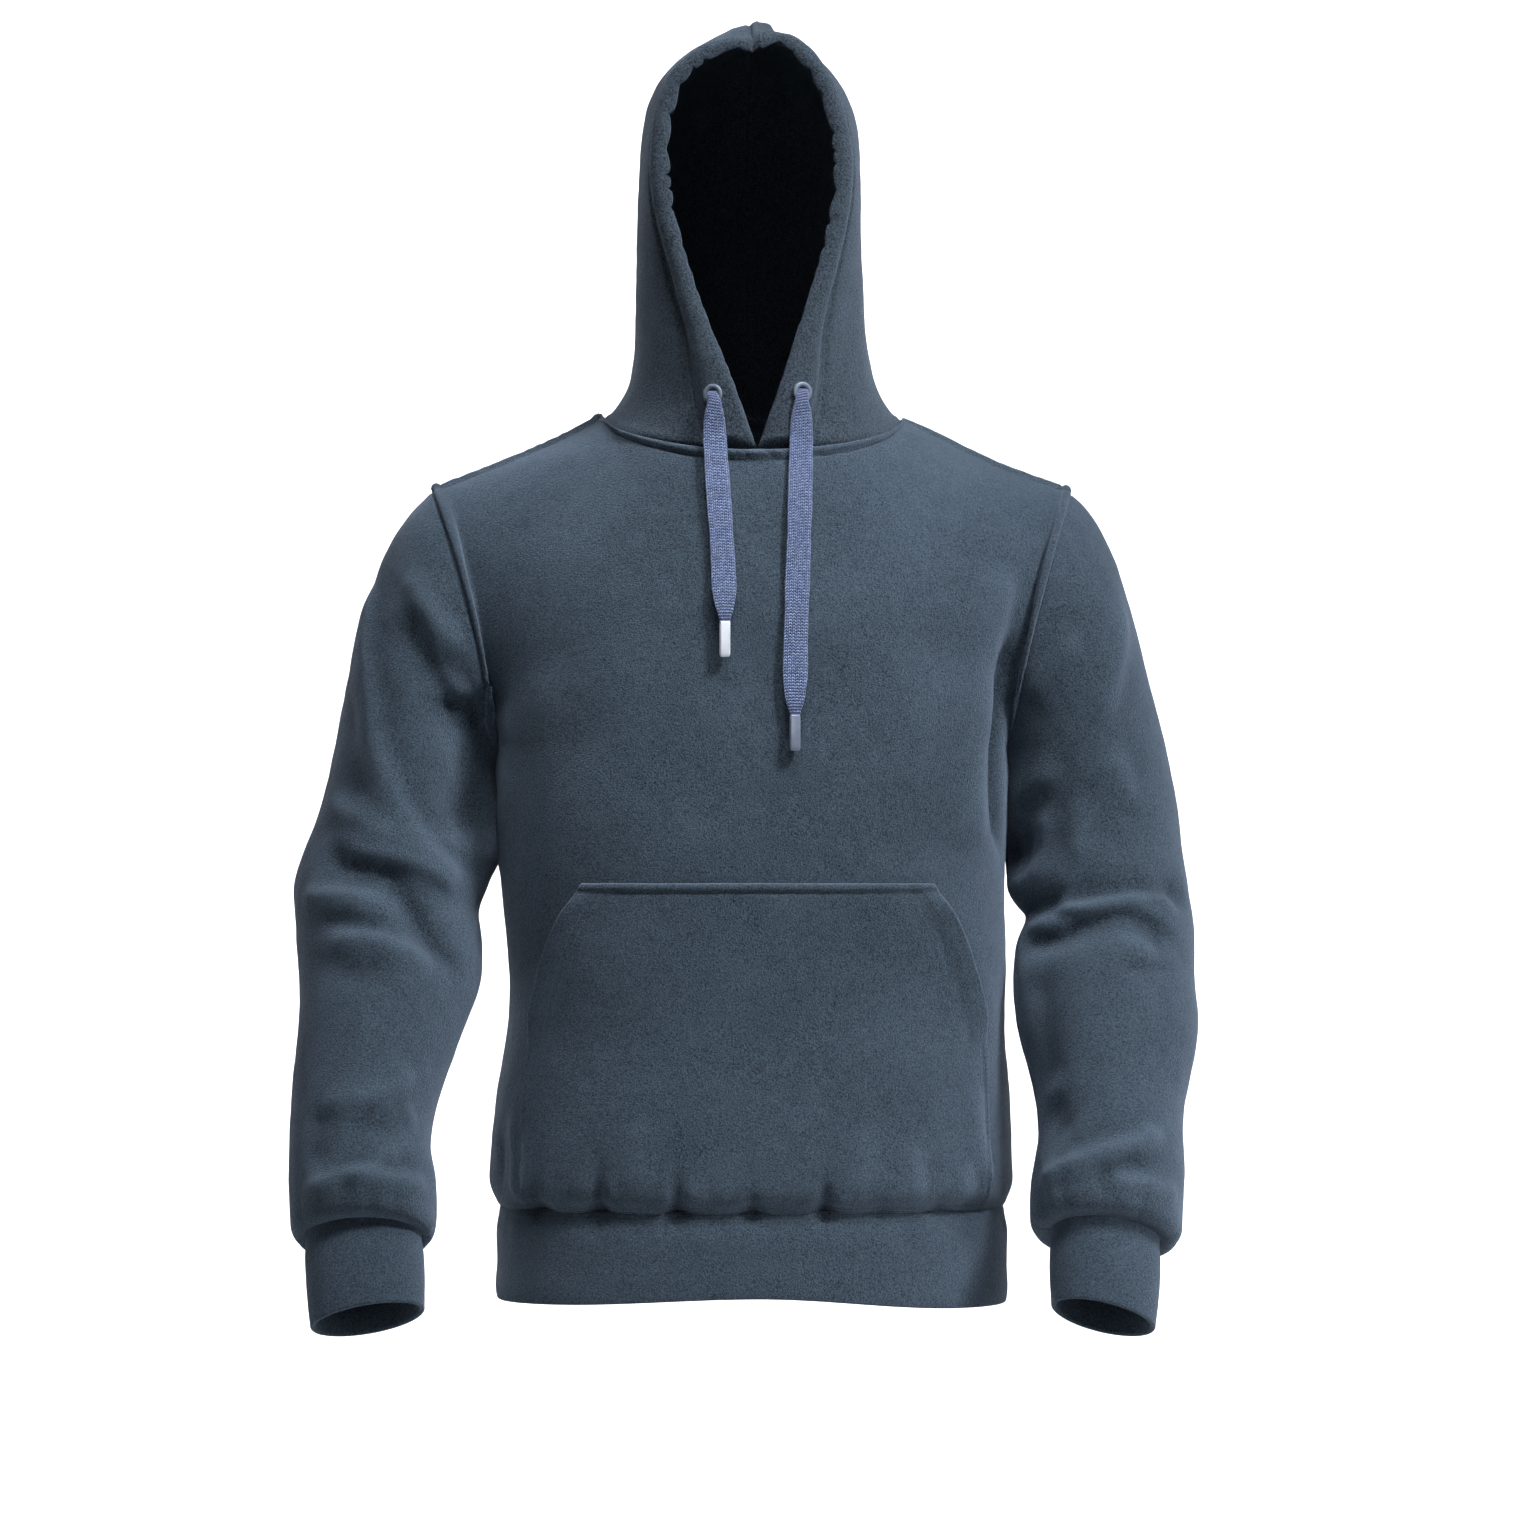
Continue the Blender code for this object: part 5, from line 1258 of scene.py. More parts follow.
def crease_lift(places, facing, line, line_facing, crease):
    """How far one crease lifts each place on the cloth."""
    lift = np.zeros(len(places))
    reach = 2.4 * max(crease.left, crease.right)
    near = np.flatnonzero(np.all((places > line.min(axis=0) - reach)
                                 & (places < line.max(axis=0) + reach), axis=1))
    if not len(near):
        return lift
    spots, outward = places[near], facing[near]
    gaps = (np.sum(spots ** 2, axis=1)[:, None] + np.sum(line ** 2, axis=1)[None]
            - 2 * spots @ line.T)
    nearest = gaps.argmin(axis=1)
    apart = spots - line[nearest]
    tangent = unit(np.gradient(line, axis=0))[nearest]
    side = np.sum(np.cross(outward, tangent) * apart, axis=1)
    blend = 0.5 + 0.5 * np.tanh(side / (0.3 * (crease.left + crease.right)))
    width = crease.right + (crease.left - crease.right) * blend
    run = lengths(line)
    part = run[nearest]
    taper = ease(part / crease.fade) * ease((run[-1] - part) / crease.fade)
    alike = ease((np.sum(outward * line_facing[nearest], axis=1) + 0.1) / 0.6)
    lift[near] = (crease.height * (0.12 + 0.88 * taper) * alike
                  * np.exp(-(np.linalg.norm(apart, axis=1) / width) ** 1.8))
    return lift


# %% [markdown]
# ## Slow waviness
# Between the folds no cloth is perfectly smooth. A few long waves, crossing at chance angles,
# give the large calm areas the shallow rise and fall that soft light picks out. The chance is
# seeded, so that the garment comes out the same every time.

# %% Waves through space
chance = np.random.default_rng(20)


def waves(count, shortest, longest, height):
    """Waves as (direction and tightness, phase, height)."""
    made = []
    for _ in range(count):
        heading = unit(chance.normal(size=3))
        made.append((heading * 2 * math.pi / chance.uniform(shortest, longest),
                     chance.uniform(0, 2 * math.pi), height * chance.uniform(0.6, 1.3)))
    return made


SLOW_WAVES = waves(7, 0.055, 0.120, 0.00042)
QUICK_WAVES = waves(7, 0.014, 0.024, 0.00007)


def wave_lift(places, listed):
    """Sum of the listed waves at each place."""
    return sum(height * np.sin(places @ tightness + phase) for tightness, phase, height in listed)


# %% [markdown]
# ## Edges that meet share one direction
# Two panels sewn together must move together, or the seam opens. So points on meeting edges
# take the average of both panels' outward directions, and the cloth near an edge eases into it.

# %% Shared edge directions
SHARED = {"front": "left right low high", "back": "left right low high",
          "sleeve_right": "low", "sleeve_left": "low", "hood_left": "low high right",
          "hood_right": "low high right", "hem_band": "high"}
EDGE_INDEX = {"left": (slice(None), 0), "right": (slice(None), -1),
              "low": (0, slice(None)), "high": (-1, slice(None))}


def shared_facings():
    """Outward directions of all panels, equal where their edges meet."""
    facings = {panel.name: panel.facing() for panel in panels}
    spots, outward = [], []
    for name, edges in SHARED.items():
        for edge in edges.split():
            spots.append(NAMED[name].points[EDGE_INDEX[edge]])
            outward.append(facings[name][EDGE_INDEX[edge]])
    spots, outward = np.concatenate(spots), np.concatenate(outward)
    tree = KDTree(len(spots))
    for index, spot in enumerate(spots):
        tree.insert(spot, index)
    tree.balance()
    for name, edges in SHARED.items():
        panel, own = NAMED[name], facings[name]
        for edge in edges.split():
            mean = []
            for spot in panel.points[EDGE_INDEX[edge]]:
                found = [index for _, index, _ in tree.find_range(spot, 0.0045)]
                mean.append(unit(outward[found].sum(axis=0)))
            mean = np.array(mean)
            distance = getattr(panel, edge)
            across = mean[:, None] if edge in ("left", "right") else mean[None]
            keep = ease(distance / 0.009)[..., None]
            facings[name] = unit(across * (1 - keep) + facings[name] * keep)
    for name in ("front", "back", "hood_left", "hood_right"):
        seam = NAMED[name].points[..., 0] == 0.0
        facings[name][seam, 0] = 0.0
        facings[name] = unit(facings[name])
    return facings


# %% Lift the cloth along its creases
def blur(values, closed, times):
    """A grid of values with its neighbours mixed in."""
    for _ in range(times):
        values = np.pad(values, ((1, 1), (0, 0)), mode="edge")
        values = (values[:-2] + 2 * values[1:-1] + values[2:]) / 4
        values = np.pad(values, ((0, 0), (1, 1)), mode="wrap" if closed else "edge")
        values = (values[:, :-2] + 2 * values[:, 1:-1] + values[:, 2:]) / 4
    return values


def crease_panels():
    """Move every panel along its outward direction by creases and waves."""
    facings = shared_facings()
    lines = [crease_line(crease) for crease in CREASES]
    directions = []
    for crease, line in zip(CREASES, lines):
        panel = NAMED[crease.where]
        flat = panel.points.reshape(-1, 3)
        outward = facings[crease.where].reshape(-1, 3)
        gaps = (np.sum(line ** 2, axis=1)[:, None] + np.sum(flat ** 2, axis=1)[None]
                - 2 * line @ flat.T)
        directions.append(outward[gaps.argmin(axis=1)])
    for panel in panels:
        places = panel.points.reshape(-1, 3)
        outward = facings[panel.name].reshape(-1, 3)
        lift = wave_lift(places, SLOW_WAVES) + wave_lift(places, QUICK_WAVES)
        if panel.name.startswith(("cuff", "hem")):
            lift = lift * 0.35
        for crease, line, line_facing in zip(CREASES, lines, directions):
            lift = lift + crease_lift(places, outward, line, line_facing, crease)
        lift = lift.reshape(panel.points.shape[:2])
        stiff = 0.45 + 0.55 * ease(panel.edge_distance() / 0.014)
        if panel.name.startswith("sleeve"):
            stiff = stiff * ease(panel.high / 0.016)
        if panel.name.startswith("cuff"):
            stiff = stiff * ease(panel.low / 0.020)
        lift = lift * stiff
        # painted fold shading: where the lift stands above its blurred self the colour is painted
        # lighter, and where it is below, darker
        panel.crest = np.clip((lift - blur(lift, panel.closed, 24)) / 0.0022, -1.0, 1.0)
        panel.points = panel.points + facings[panel.name] * lift[..., None]
        print(panel.name, "lifted from", round(float(lift.min()) * 1000, 1), "to",
              round(float(lift.max()) * 1000, 1), "mm")


crease_panels()

# %% [markdown]
# ## Seams that show
# A sewn seam pulls the cloth down along its line, and where the allowance is stitched to one
# side it makes a padded band, closed by the row of stitches. Each is a small profile across the
# cloth, added by distance from the edge. The hood's opening is a casing: a folded tube of cloth
# for the drawcord, gathered by it into uneven little puffs that grow towards the crown.


# %% Profiles across an edge
def seam_dip(distance, depth=0.0016):
    """The groove along a seam's line."""
    return -depth * hill(distance, 0.0, 0.0017)


def padded_band(distance, width=0.0080, height=0.0016):
    """The padded allowance beside a seam, and the groove of its stitches."""
    part = np.clip(distance / width, 0.0, 1.0)
    return (height * np.sin(np.pi * part) ** 0.6
            - 0.0009 * hill(distance, width, 0.0011))


def folded_edge(distance, radius):
    """How far a folded edge curves back, nought beyond its radius."""
    inside = np.clip(radius - distance, 0.0, radius)
    return np.sqrt(radius ** 2 - inside ** 2) - radius


def folded_wall(distance, radius, wall):
    """Wall that closes a folded edge and grows to full thickness."""
    inside = np.clip(radius - distance, 0.0, radius * 0.985)
    return np.minimum(wall, 2 * np.sqrt(radius ** 2 - inside ** 2))


def puckers(listed, across, apart):
    """Dents of a gathered seam, cut deepest at the seam line, at listed (place, depth, reach)."""
    wide = 0.0048 + 0.0052 * hill(apart, 0.0, 0.009)
    near = sum(depth * np.exp(-((across - place) / wide) ** 2 - (apart / reach) ** 1.6)
               for place, depth, reach in listed)
    return -1.5 * near


def gathers(run, pitch, seed):
    """Uneven puffs along a gathered seam, from nought in the folds to one."""
    drift = 0.9 * np.sin(run * 2 * np.pi / (pitch * 4.3) + seed)
    drift = drift + 0.6 * np.sin(run * 2 * np.pi / (pitch * 2.6) + 2.1 * seed)
    return np.abs(np.sin(np.pi * run / pitch + drift)) ** 0.7


# %% Sew the body and sleeves
PUCKERS = {-1: ((-.167, .0058, .020), (-.120, .0062, .026), (-.0605, .0060, .022),
                (-.005, .0050, .015), (.051, .0062, .022), (.094, .0030, .010),
                (.139, .0036, .012)),
           1: ((-.163, .0052, .020), (-.111, .0058, .024), (-.070, .0040, .016),
               (-.018, .0060, .024), (.031, .0040, .014), (.067, .0056, .022),
               (.119, .0056, .024), (.160, .0044, .018))}
for panel in (front, back):
    lift = np.zeros(panel.points.shape[:2])
    waist = ((panel.points[..., 0] + 0.200) / 0.045) ** 2
    lift -= 0.0085 * np.exp(-waist - ((panel.points[..., 2] + 0.445) / 0.070) ** 2)
    beside = np.minimum(panel.left, panel.right)
    if panel is back:
        lift += 0.0078 * (hill(beside, 0.028, 0.017)
                          * hill(panel.points[..., 2], -0.306, 0.045, 4))
    lift += 0.0036 * (hill(beside, 0.0, 0.022)
                      * hill(panel.points[..., 2], -0.277, 0.012))
    above = ease((panel.low - (ARMPIT_Z - HEM_Z) - 0.004) / 0.02)
    for edge in ("left", "right"):
        distance = getattr(panel, edge)
        lift += (seam_dip(distance) + padded_band(distance) * above
                 * (0.15 + 0.85 * ease((panel.points[..., 2] + 0.185) / 0.055)))
    neck = 1.0
    for side, height, spread, flat in ((-1, 0.0036, 0.010, 0.2), (1, 0.0012, 0.014, 0.7)):
        corner = np.array([side * HOOD[0].side_x, HOOD[0].side_y, HOOD[0].side_z])
        apart = np.linalg.norm(panel.points - corner, axis=2)
        lift += height * np.exp(-(apart / spread) ** 2)
        neck = neck * (1 - flat * hill(apart, 0.0, 0.014))
    puff = 0.85 + 0.3 * gathers(panel.left, 0.012, 1.0)
    lift += neck * (seam_dip(panel.high, 0.0024) + padded_band(panel.high, 0.0086, 0.0034) * puff)
    puffs = 0.55 + 0.75 * gathers(panel.left[:1], 0.047, 0.8 if panel is front else 2.9)
    lift += seam_dip(panel.low, 0.0009) - 0.0012 * hill(panel.low, 0.0, 0.012)
    dents = puckers(PUCKERS[-1 if panel is front else 1], panel.points[..., 0], panel.low)
    lift += dents
    # painted shade: the colour is painted darker in each pucker dent
    panel.crest = np.clip(panel.crest + dents / 0.0040, -1.0, 1.0)
    lift += 0.0020 * puffs * hill(panel.low, 0.017, 0.014)
    for line in (0.0016, 0.0048):
        lift += -0.00035 * hill(panel.low, line, 0.0006)
    panel.seam = lift
for side in ("right", "left"):
    panel = tubes["sleeve_" + side]
    inner = np.abs(np.arange(len(ROUND)) - len(ROUND) / 2) * panel.left[:, -1:] / len(ROUND)
    lift = seam_dip(panel.low, 0.0012) - 0.0007 * hill(inner, 0.0, 0.0022)
    around = panel.left[-30:-29]
    rim = hill(panel.high, 0.024, 0.016)
    lift += rim * (0.0016 * gathers(around, 0.031, 0.6 if side == "left" else 2.2) - 0.0008)
    panel.seam = lift
    cuff = tubes["cuff_" + side]
    cuff.seam = (folded_edge(cuff.high, 0.0020)
                 - 0.0006 * np.exp(-((np.arange(len(ROUND)) - len(ROUND) / 2) * 0.9) ** 2))
    cuff.wall = folded_wall(cuff.high, 0.0020, RIB_WALL)
hem.seam = (folded_edge(hem.low, 0.0020) + seam_dip(hem.high, 0.0008)
            - 0.0010 * hill(hem.high, 0.0, 0.010) + 0.0038 * ease(hem.high / 0.030))
hem.seam += 0.0012 * gathers(hem.left, 0.041, 1.3) * hill(hem.high, 0.016, 0.010)
for face, listed in PUCKERS.items():
    here = (hem.points[..., 1] - SIDE_Y) * face > 0
    dents = here * puckers(listed, hem.points[..., 0], hem.high / 0.40)
    hem.seam += 0.55 * dents
    # painted shade: the band's colour is painted darker in each pucker dent
    hem.crest = np.clip(hem.crest + dents / 0.0060, -1.0, 1.0)
for line in (0.0016, 0.0048):
    hem.seam += -0.00035 * hill(hem.high, line, 0.0006)
hem.wall = folded_wall(hem.low, 0.0020, RIB_WALL)

# %% Sew the hood's casing and crown
CASING_NOSE = 0.0030
ARCH = {1: ((0.003, 0.0), (0.010, 0.0025), (0.018, 0.0090), (0.027, 0.0115), (0.037, 0.0108),
            (0.050, 0.0076), (0.068, 0.0034), (0.090, 0.0)),
        -1: ((0.002, 0.0), (0.016, 0.0050), (0.032, 0.0090), (0.055, 0.0110), (0.080, 0.0070),
             (0.115, 0.0025), (0.160, 0.0010), (0.210, 0.0))}
ARCH_CENTRE = np.array([0.0, 0.0, 0.165])
for panel in (hood_right, hood_left):
    width = CASING_WIDTH[:, None]
    run = panel.low[:, :1]
    fade = ease(panel.low / 0.010)
    d = panel.left
    strong = 0.25 + 0.75 * ease((HOOD_NUMBERS - 2.5) / 6.0)[:, None]
    puff = gathers(run, 0.0190, 0.4 if panel.turn > 0 else 1.9) - 0.6
    band = np.sin(math.pi * np.clip((d - 0.001) / width, 0.0, 1.0)) ** 0.7
    lift = folded_edge(d, CASING_NOSE) + 0.0048 * band
    lift -= 0.0016 * np.exp(-((d - width - 0.002) / 0.0045) ** 2)
    lift += 0.0026 * strong * puff * band * (1 - 0.5 * ease(d / width))
    for line in (0.0, 0.0048):
        lift += -0.0013 * np.exp(-((d - width - line) / 0.0013) ** 2)
    lift = lift * fade
    crown = padded_band(panel.high, 0.0075, 0.0010) if panel.turn > 0 else 0.0
    behind = padded_band(panel.right, 0.0075, 0.0010) if panel.turn > 0 else 0.0
    lift += seam_dip(panel.high) + seam_dip(panel.right) + crown + behind
    lift += seam_dip(panel.low, 0.0022) - 0.0004 * hill(panel.low, 0.0030, 0.0008)
    outwards = (panel.points - ARCH_CENTRE) * np.array([1.0, 0.0, 1.0])
    outwards = outwards / np.linalg.norm(outwards, axis=2, keepdims=True).clip(0.01)
    push = np.interp(panel.high[:, :1], *zip(*ARCH[panel.turn])) * hill(d, 0.0, 0.030)
    calm = ease(panel.high / 0.012) if panel.turn < 0 else ease((panel.high - 0.022) / 0.014)
    push = push - 0.0046 * strong * puff * hill(d, 0.0, 0.010) * calm
    if panel.turn > 0:
        lump = ease(panel.high / 0.007) * (1 - ease((panel.high - 0.013) / 0.009))
        lump = lump * (1 - ease((d - 0.058) / 0.034))
        lift += 0.0046 * lump
        beside = hill(panel.high, 0.021, 0.006)
        push = push + (0.0040 * beside - 0.0022 * lump) * hill(d, 0.0, 0.010)
    panel.seam = lift
    panel.wall = folded_wall(d, CASING_NOSE, WALL + 0.0030 * band)
    panel.points = panel.points + outwards * (push * fade)[..., None]

# %% [markdown]
# ## From grid to shell
# A closed shell is made from each grid: the outer points, the same points moved in by the wall,
# and a rim round every edge. The painted fold shading travels with the outer points, so that the
# cloth's colour is painted lighter where folds stand proud and darker in their hollows, as
# painted highlight and painted shade.


# %% Shells
def shell_faces(rows, columns, closed, flip):
    """Faces of a closed shell over a grid and its inner copy."""
    reach = columns if closed else columns - 1
    r, c = np.meshgrid(np.arange(rows - 1), np.arange(reach), indexing="ij")
    n = (c + 1) % columns
    total = rows * columns
    a, b = r * columns + c, r * columns + n
    d, e = a + columns, b + columns
    outer = np.stack([a, b, e, d], axis=-1).reshape(-1, 4)
    inner = np.stack([a, d, e, b], axis=-1).reshape(-1, 4) + total
    c = np.arange(reach)
    n = (c + 1) % columns
    top = (rows - 1) * columns
    rims = [np.stack([c, total + c, total + n, n], axis=-1),
            np.stack([top + c, top + n, total + top + n, total + top + c], axis=-1)]
    if not closed:
        a = np.arange(rows - 1) * columns
        d = a + columns
        rims.append(np.stack([a, d, total + d, total + a], axis=-1))
        a, d = a + columns - 1, d + columns - 1
        rims.append(np.stack([a, total + a, total + d, d], axis=-1))
    faces = np.concatenate([outer, inner, *rims])
    return faces[:, ::-1] if flip else faces


def cloth_shell(panel, outward, finish):
    """One mesh object from a panel, with its painted fold shading attribute and finish."""
    rows, columns = panel.points.shape[:2]
    inner = panel.points - outward * panel.wall[..., None]
    points = np.concatenate([panel.points.reshape(-1, 3), inner.reshape(-1, 3)])
    faces = shell_faces(rows, columns, panel.closed, panel.turn < 0)
    mesh = bpy.data.meshes.new("cloth_" + panel.name)
    mesh.vertices.add(len(points))
    mesh.vertices.foreach_set("co", points.astype(np.float32).ravel())
    mesh.loops.add(faces.size)
    mesh.loops.foreach_set("vertex_index", faces.astype(np.int32).ravel())
    mesh.polygons.add(len(faces))
    mesh.polygons.foreach_set("loop_start", np.arange(len(faces), dtype=np.int32) * 4)
    mesh.polygons.foreach_set("loop_total", np.full(len(faces), 4, np.int32))
    mesh.update(calc_edges=True)
    mesh.shade_smooth()
    # painted fold shading on the outer points, none on the inner ones
    crest = np.concatenate([panel.crest.ravel(), np.zeros(rows * columns)])
    mesh.attributes.new("crest", "FLOAT", "POINT").data.foreach_set(
        "value", crest.astype(np.float32))
    mesh.materials.append(finish)
    made = add_object("cloth_" + panel.name, mesh)
    print(panel.name, "shell faces:", len(faces))
    return made


final = shared_facings()
for panel in panels:
    panel.points = panel.points + final[panel.name] * panel.seam[..., None]
    panel.outward = final[panel.name]
    if panel.name.startswith("hood"):
        panel.points[..., 0] -= HOOD_SLIP * ease((panel.points[..., 2] - 0.01) / 0.09)

# %% [markdown]
# ## Pocket
# The kangaroo pocket is one more layer on the front, with slanted openings at both sides. It
# takes its form from the front's own finished grid, so that both share every fold, and lies a
# layer further out. Its openings are hemmed wide and stand a little open; its top is turned
# under and stitched; below the openings its sides are stitched down twice.

# %% Pocket panel
GUIDE_COLUMN = 43           # the front's column that runs up the pocket's sides
EDGE_SHARES = np.array([0.0, 0.14, 0.30, 0.50, 0.75, 1.05, 1.4, 1.8, 2.3, 2.9, 3.5])


def read_grid(grid, rows, columns):
    """A grid's values at fractional rows and columns."""
    low_r = np.clip(rows.astype(int), 0, grid.shape[0] - 2)
    low_c = np.clip(columns.astype(int), 0, grid.shape[1] - 2)
    r = (rows - low_r)[:, None, None]
    c = (columns - low_c)[None, :, None]
    a, b = grid[low_r][:, low_c], grid[low_r][:, low_c + 1]
    d, e = grid[low_r + 1][:, low_c], grid[low_r + 1][:, low_c + 1]
    return (a * (1 - c) + b * c) * (1 - r) + (d * (1 - c) + e * c) * r


def pocket_panel():
    """The pocket's panel, outside the front."""
    last = front.points.shape[1] - 1 - GUIDE_COLUMN
    top = int(np.argmin(np.abs(front.points[:, front.points.shape[1] // 2, 2] - POCKET_TOP_Z)))
    columns = np.concatenate([GUIDE_COLUMN + EDGE_SHARES,
                              np.arange(GUIDE_COLUMN + 4, last - 3),
                              last - EDGE_SHARES[::-1]])
    rows = np.concatenate([np.arange(top - 3), top - EDGE_SHARES[::-1]])
    base = read_grid(front.points, rows, columns)
    outward = unit(read_grid(front.outward, rows, columns))
    made = Panel("pocket", base)
    made.outward = outward
    # the pocket carries the front's painted fold shading
    made.crest = read_grid(front.crest[..., None], rows, columns)[..., 0]
    return made


pocket = pocket_panel()
height = pocket.points[..., 2]
mouth = ease((height - POCKET_MOUTH_LOW + 0.006) / 0.030) * ease((POCKET_TOP_Z - height) / 0.022)
sewn = 1 - ease((height - POCKET_MOUTH_LOW + 0.010) / 0.012)
side_edge = np.minimum(pocket.left, pocket.right)
rise = np.full(height.shape, 0.0004 + WALL)
rise += folded_edge(side_edge, 0.0022) * 0.9
rise += mouth * 0.0062 * np.exp(-(side_edge / 0.015) ** 1.6)
hem_line = hill(side_edge, 0.0170, 0.0010)
hem_line += hill(side_edge, 0.0225, 0.0010)
sewn_line = hill(side_edge, 0.0020, 0.0008)
sewn_line += hill(side_edge, 0.0080, 0.0009)
rise += -0.0010 * hem_line * (1 - sewn) - 0.0009 * sewn_line * sewn
rise += 0.0007 * (1 - sewn) * (1 - ease((side_edge - 0.015) / 0.004)) * ease(side_edge / 0.003)
rise += 0.0005 * sewn * np.sin(np.pi * np.clip((side_edge - 0.002) / 0.006, 0, 1)) ** 0.6
rise += folded_edge(pocket.high, 0.0022) * 0.9
rise += padded_band(pocket.high, 0.0070, 0.0011) * (0.85 + 0.3 * gathers(pocket.left, 0.013, 0.3))
rise = rise * (0.22 + 0.78 * ease((pocket.low + 0.001) / 0.016))
rise = np.maximum(rise, 0.0007)
pocket.points = pocket.points + pocket.outward * rise[..., None]
pocket.wall = np.clip(rise - 0.0002, 0.0004, WALL)
pocket.outward = pocket.facing()
panels.append(pocket)
NAMED["pocket"] = pocket
print("pocket is", round(float(np.ptp(pocket.points[0, :, 0])), 3), "m wide at the hem")

# %% [markdown]
# ## Stitches
# Rows of stitches close every padded band, hem and casing. Each row is read off the finished
# panel at its distance from an edge, and the thread tree lays a bean at every stitch.


# %% Stitch lines along edges
def edge_line(panel, edge, distance, keep=None):
    """Points and directions of a line at a distance from one edge, on the rows kept."""
    far = getattr(panel, edge)
    by_row = edge in ("left", "right")
    points, outward = panel.points, panel.outward
    if not by_row:
        far, points, outward = far.T, points.swapaxes(0, 1), outward.swapaxes(0, 1)
    if edge in ("right", "high"):
        far, points, outward = far[:, ::-1], points[:, ::-1], outward[:, ::-1]
    distance = np.broadcast_to(distance, len(far))
    spots, ways = [], []
    for line, places, directions, d in zip(far, points, outward, distance):
        index = np.interp(d, line, np.arange(len(line)))
        low = min(int(index), len(line) - 2)
        part = index - low
        spots.append(places[low] * (1 - part) + places[low + 1] * part)
        ways.append(directions[low] * (1 - part) + directions[low + 1] * part)
    spots, ways = np.array(spots), unit(np.array(ways))
    if keep is not None:
        spots, ways = spots[keep], ways[keep]
    if not by_row and panel.closed:
        spots = np.concatenate([spots, spots[:1]])
        ways = np.concatenate([ways, ways[:1]])
    return ThreadLine(spots, ways, 0.06, 1.0)


def stitched(panel, finish_lines):
    """A panel's stitches as one object."""
    return lay_thread("stitches_" + panel.name, finish_lines, THREAD, Pitch=0.0031,
                      Length=0.0027, Width=0.00075, Height=0.00060, Lift=0.00005, Wander=0.05,
                      Seed=sum(map(ord, panel.name)))


HEM_ROWS = (0.0016, 0.0048)         # on both sides of the hem seam
CASING_ROWS = (0.0, 0.0048)         # beyond the casing's width
MOUTH_ROWS = (0.0170, 0.0225)       # beside the pocket's slanted openings
SIDE_ROWS = (0.0020, 0.0080)        # down the pocket's sides below them
above_armpit = front.points[:, 0, 2] > ARMPIT_Z + 0.004
stitch_lines = {}
for panel in (front, back):
    stitch_lines[panel] = [edge_line(panel, "left", 0.0080, above_armpit),
                           edge_line(panel, "right", 0.0080, above_armpit),
                           edge_line(panel, "high", 0.0082)]
    stitch_lines[panel] += [edge_line(panel, "low", row) for row in HEM_ROWS]
stitch_lines[hem] = [edge_line(hem, "high", row) for row in HEM_ROWS]
for panel in (hood_right, hood_left):
    stitch_lines[panel] = [edge_line(panel, "left", CASING_WIDTH + row) for row in CASING_ROWS]
    if panel.turn > 0:
        stitch_lines[panel] += [edge_line(panel, edge, 0.0075) for edge in ("high", "right")]
mouth_rows = pocket.points[:, 0, 2] > POCKET_MOUTH_LOW - 0.004
stitch_lines[pocket] = [edge_line(pocket, "high", 0.0070), edge_line(pocket, "low", 0.0048)]
for edge in ("left", "right"):
    stitch_lines[pocket] += [edge_line(pocket, edge, row, mouth_rows) for row in MOUTH_ROWS]
    stitch_lines[pocket] += [edge_line(pocket, edge, row, ~mouth_rows) for row in SIDE_ROWS]
stitches = {panel.name: stitched(panel, lines) for panel, lines in stitch_lines.items()}

# %% Shell objects
cloths = {}
for panel in panels:
    finish = {"cuff": RIB, "hem": RIB, "hood": HOOD_FLEECE_PAINTED_SHADE}.get(panel.name.split("_")[0], FLEECE)
    cloths[panel.name] = cloth_shell(panel, panel.outward, finish)

# %% [markdown]
# ## Eyelets and tips
# An eyelet is a pressed metal ring: a rounded flange outside and a short barrel through the
# cloth, dark inside. A tip is a little metal sleeve crimped on the cord's end, a flattened tube
# with bevelled corners and a chamfered foot.


# %% Eyelets
def surface_hit(cloth, start, heading):
    """Where a straight line first meets a cloth object."""
    mesh = cloth.data
    tree = BVHTree.FromPolygons([v.co.copy() for v in mesh.vertices],
                                [tuple(p.vertices) for p in mesh.polygons])
    return np.array(tree.ray_cast(Vector(start), Vector(heading))[0])


def turned_ring(name, centre, axis, outline, count, finish):
    """A ring turned about an axis from a closed outline of (radius, height)."""
    axis = unit(np.array(axis))
    start = unit(np.cross(axis, [0.31, 0.23, 0.92]))
    other = np.cross(axis, start)
    angles = np.linspace(0, 2 * math.pi, count, endpoint=False)
    spokes = np.cos(angles)[:, None] * start + np.sin(angles)[:, None] * other
    points = [centre + spoke * radius + axis * height
              for spoke in spokes for radius, height in outline]
    steps = len(outline)
    faces = []
    for k in range(count):
        n = (k + 1) % count
        for s in range(steps):
            t = (s + 1) % steps
            faces.append((k * steps + s, n * steps + s, n * steps + t, k * steps + t))
    made = new_object(name, points, faces)
    made.data.materials.append(finish)
    return made


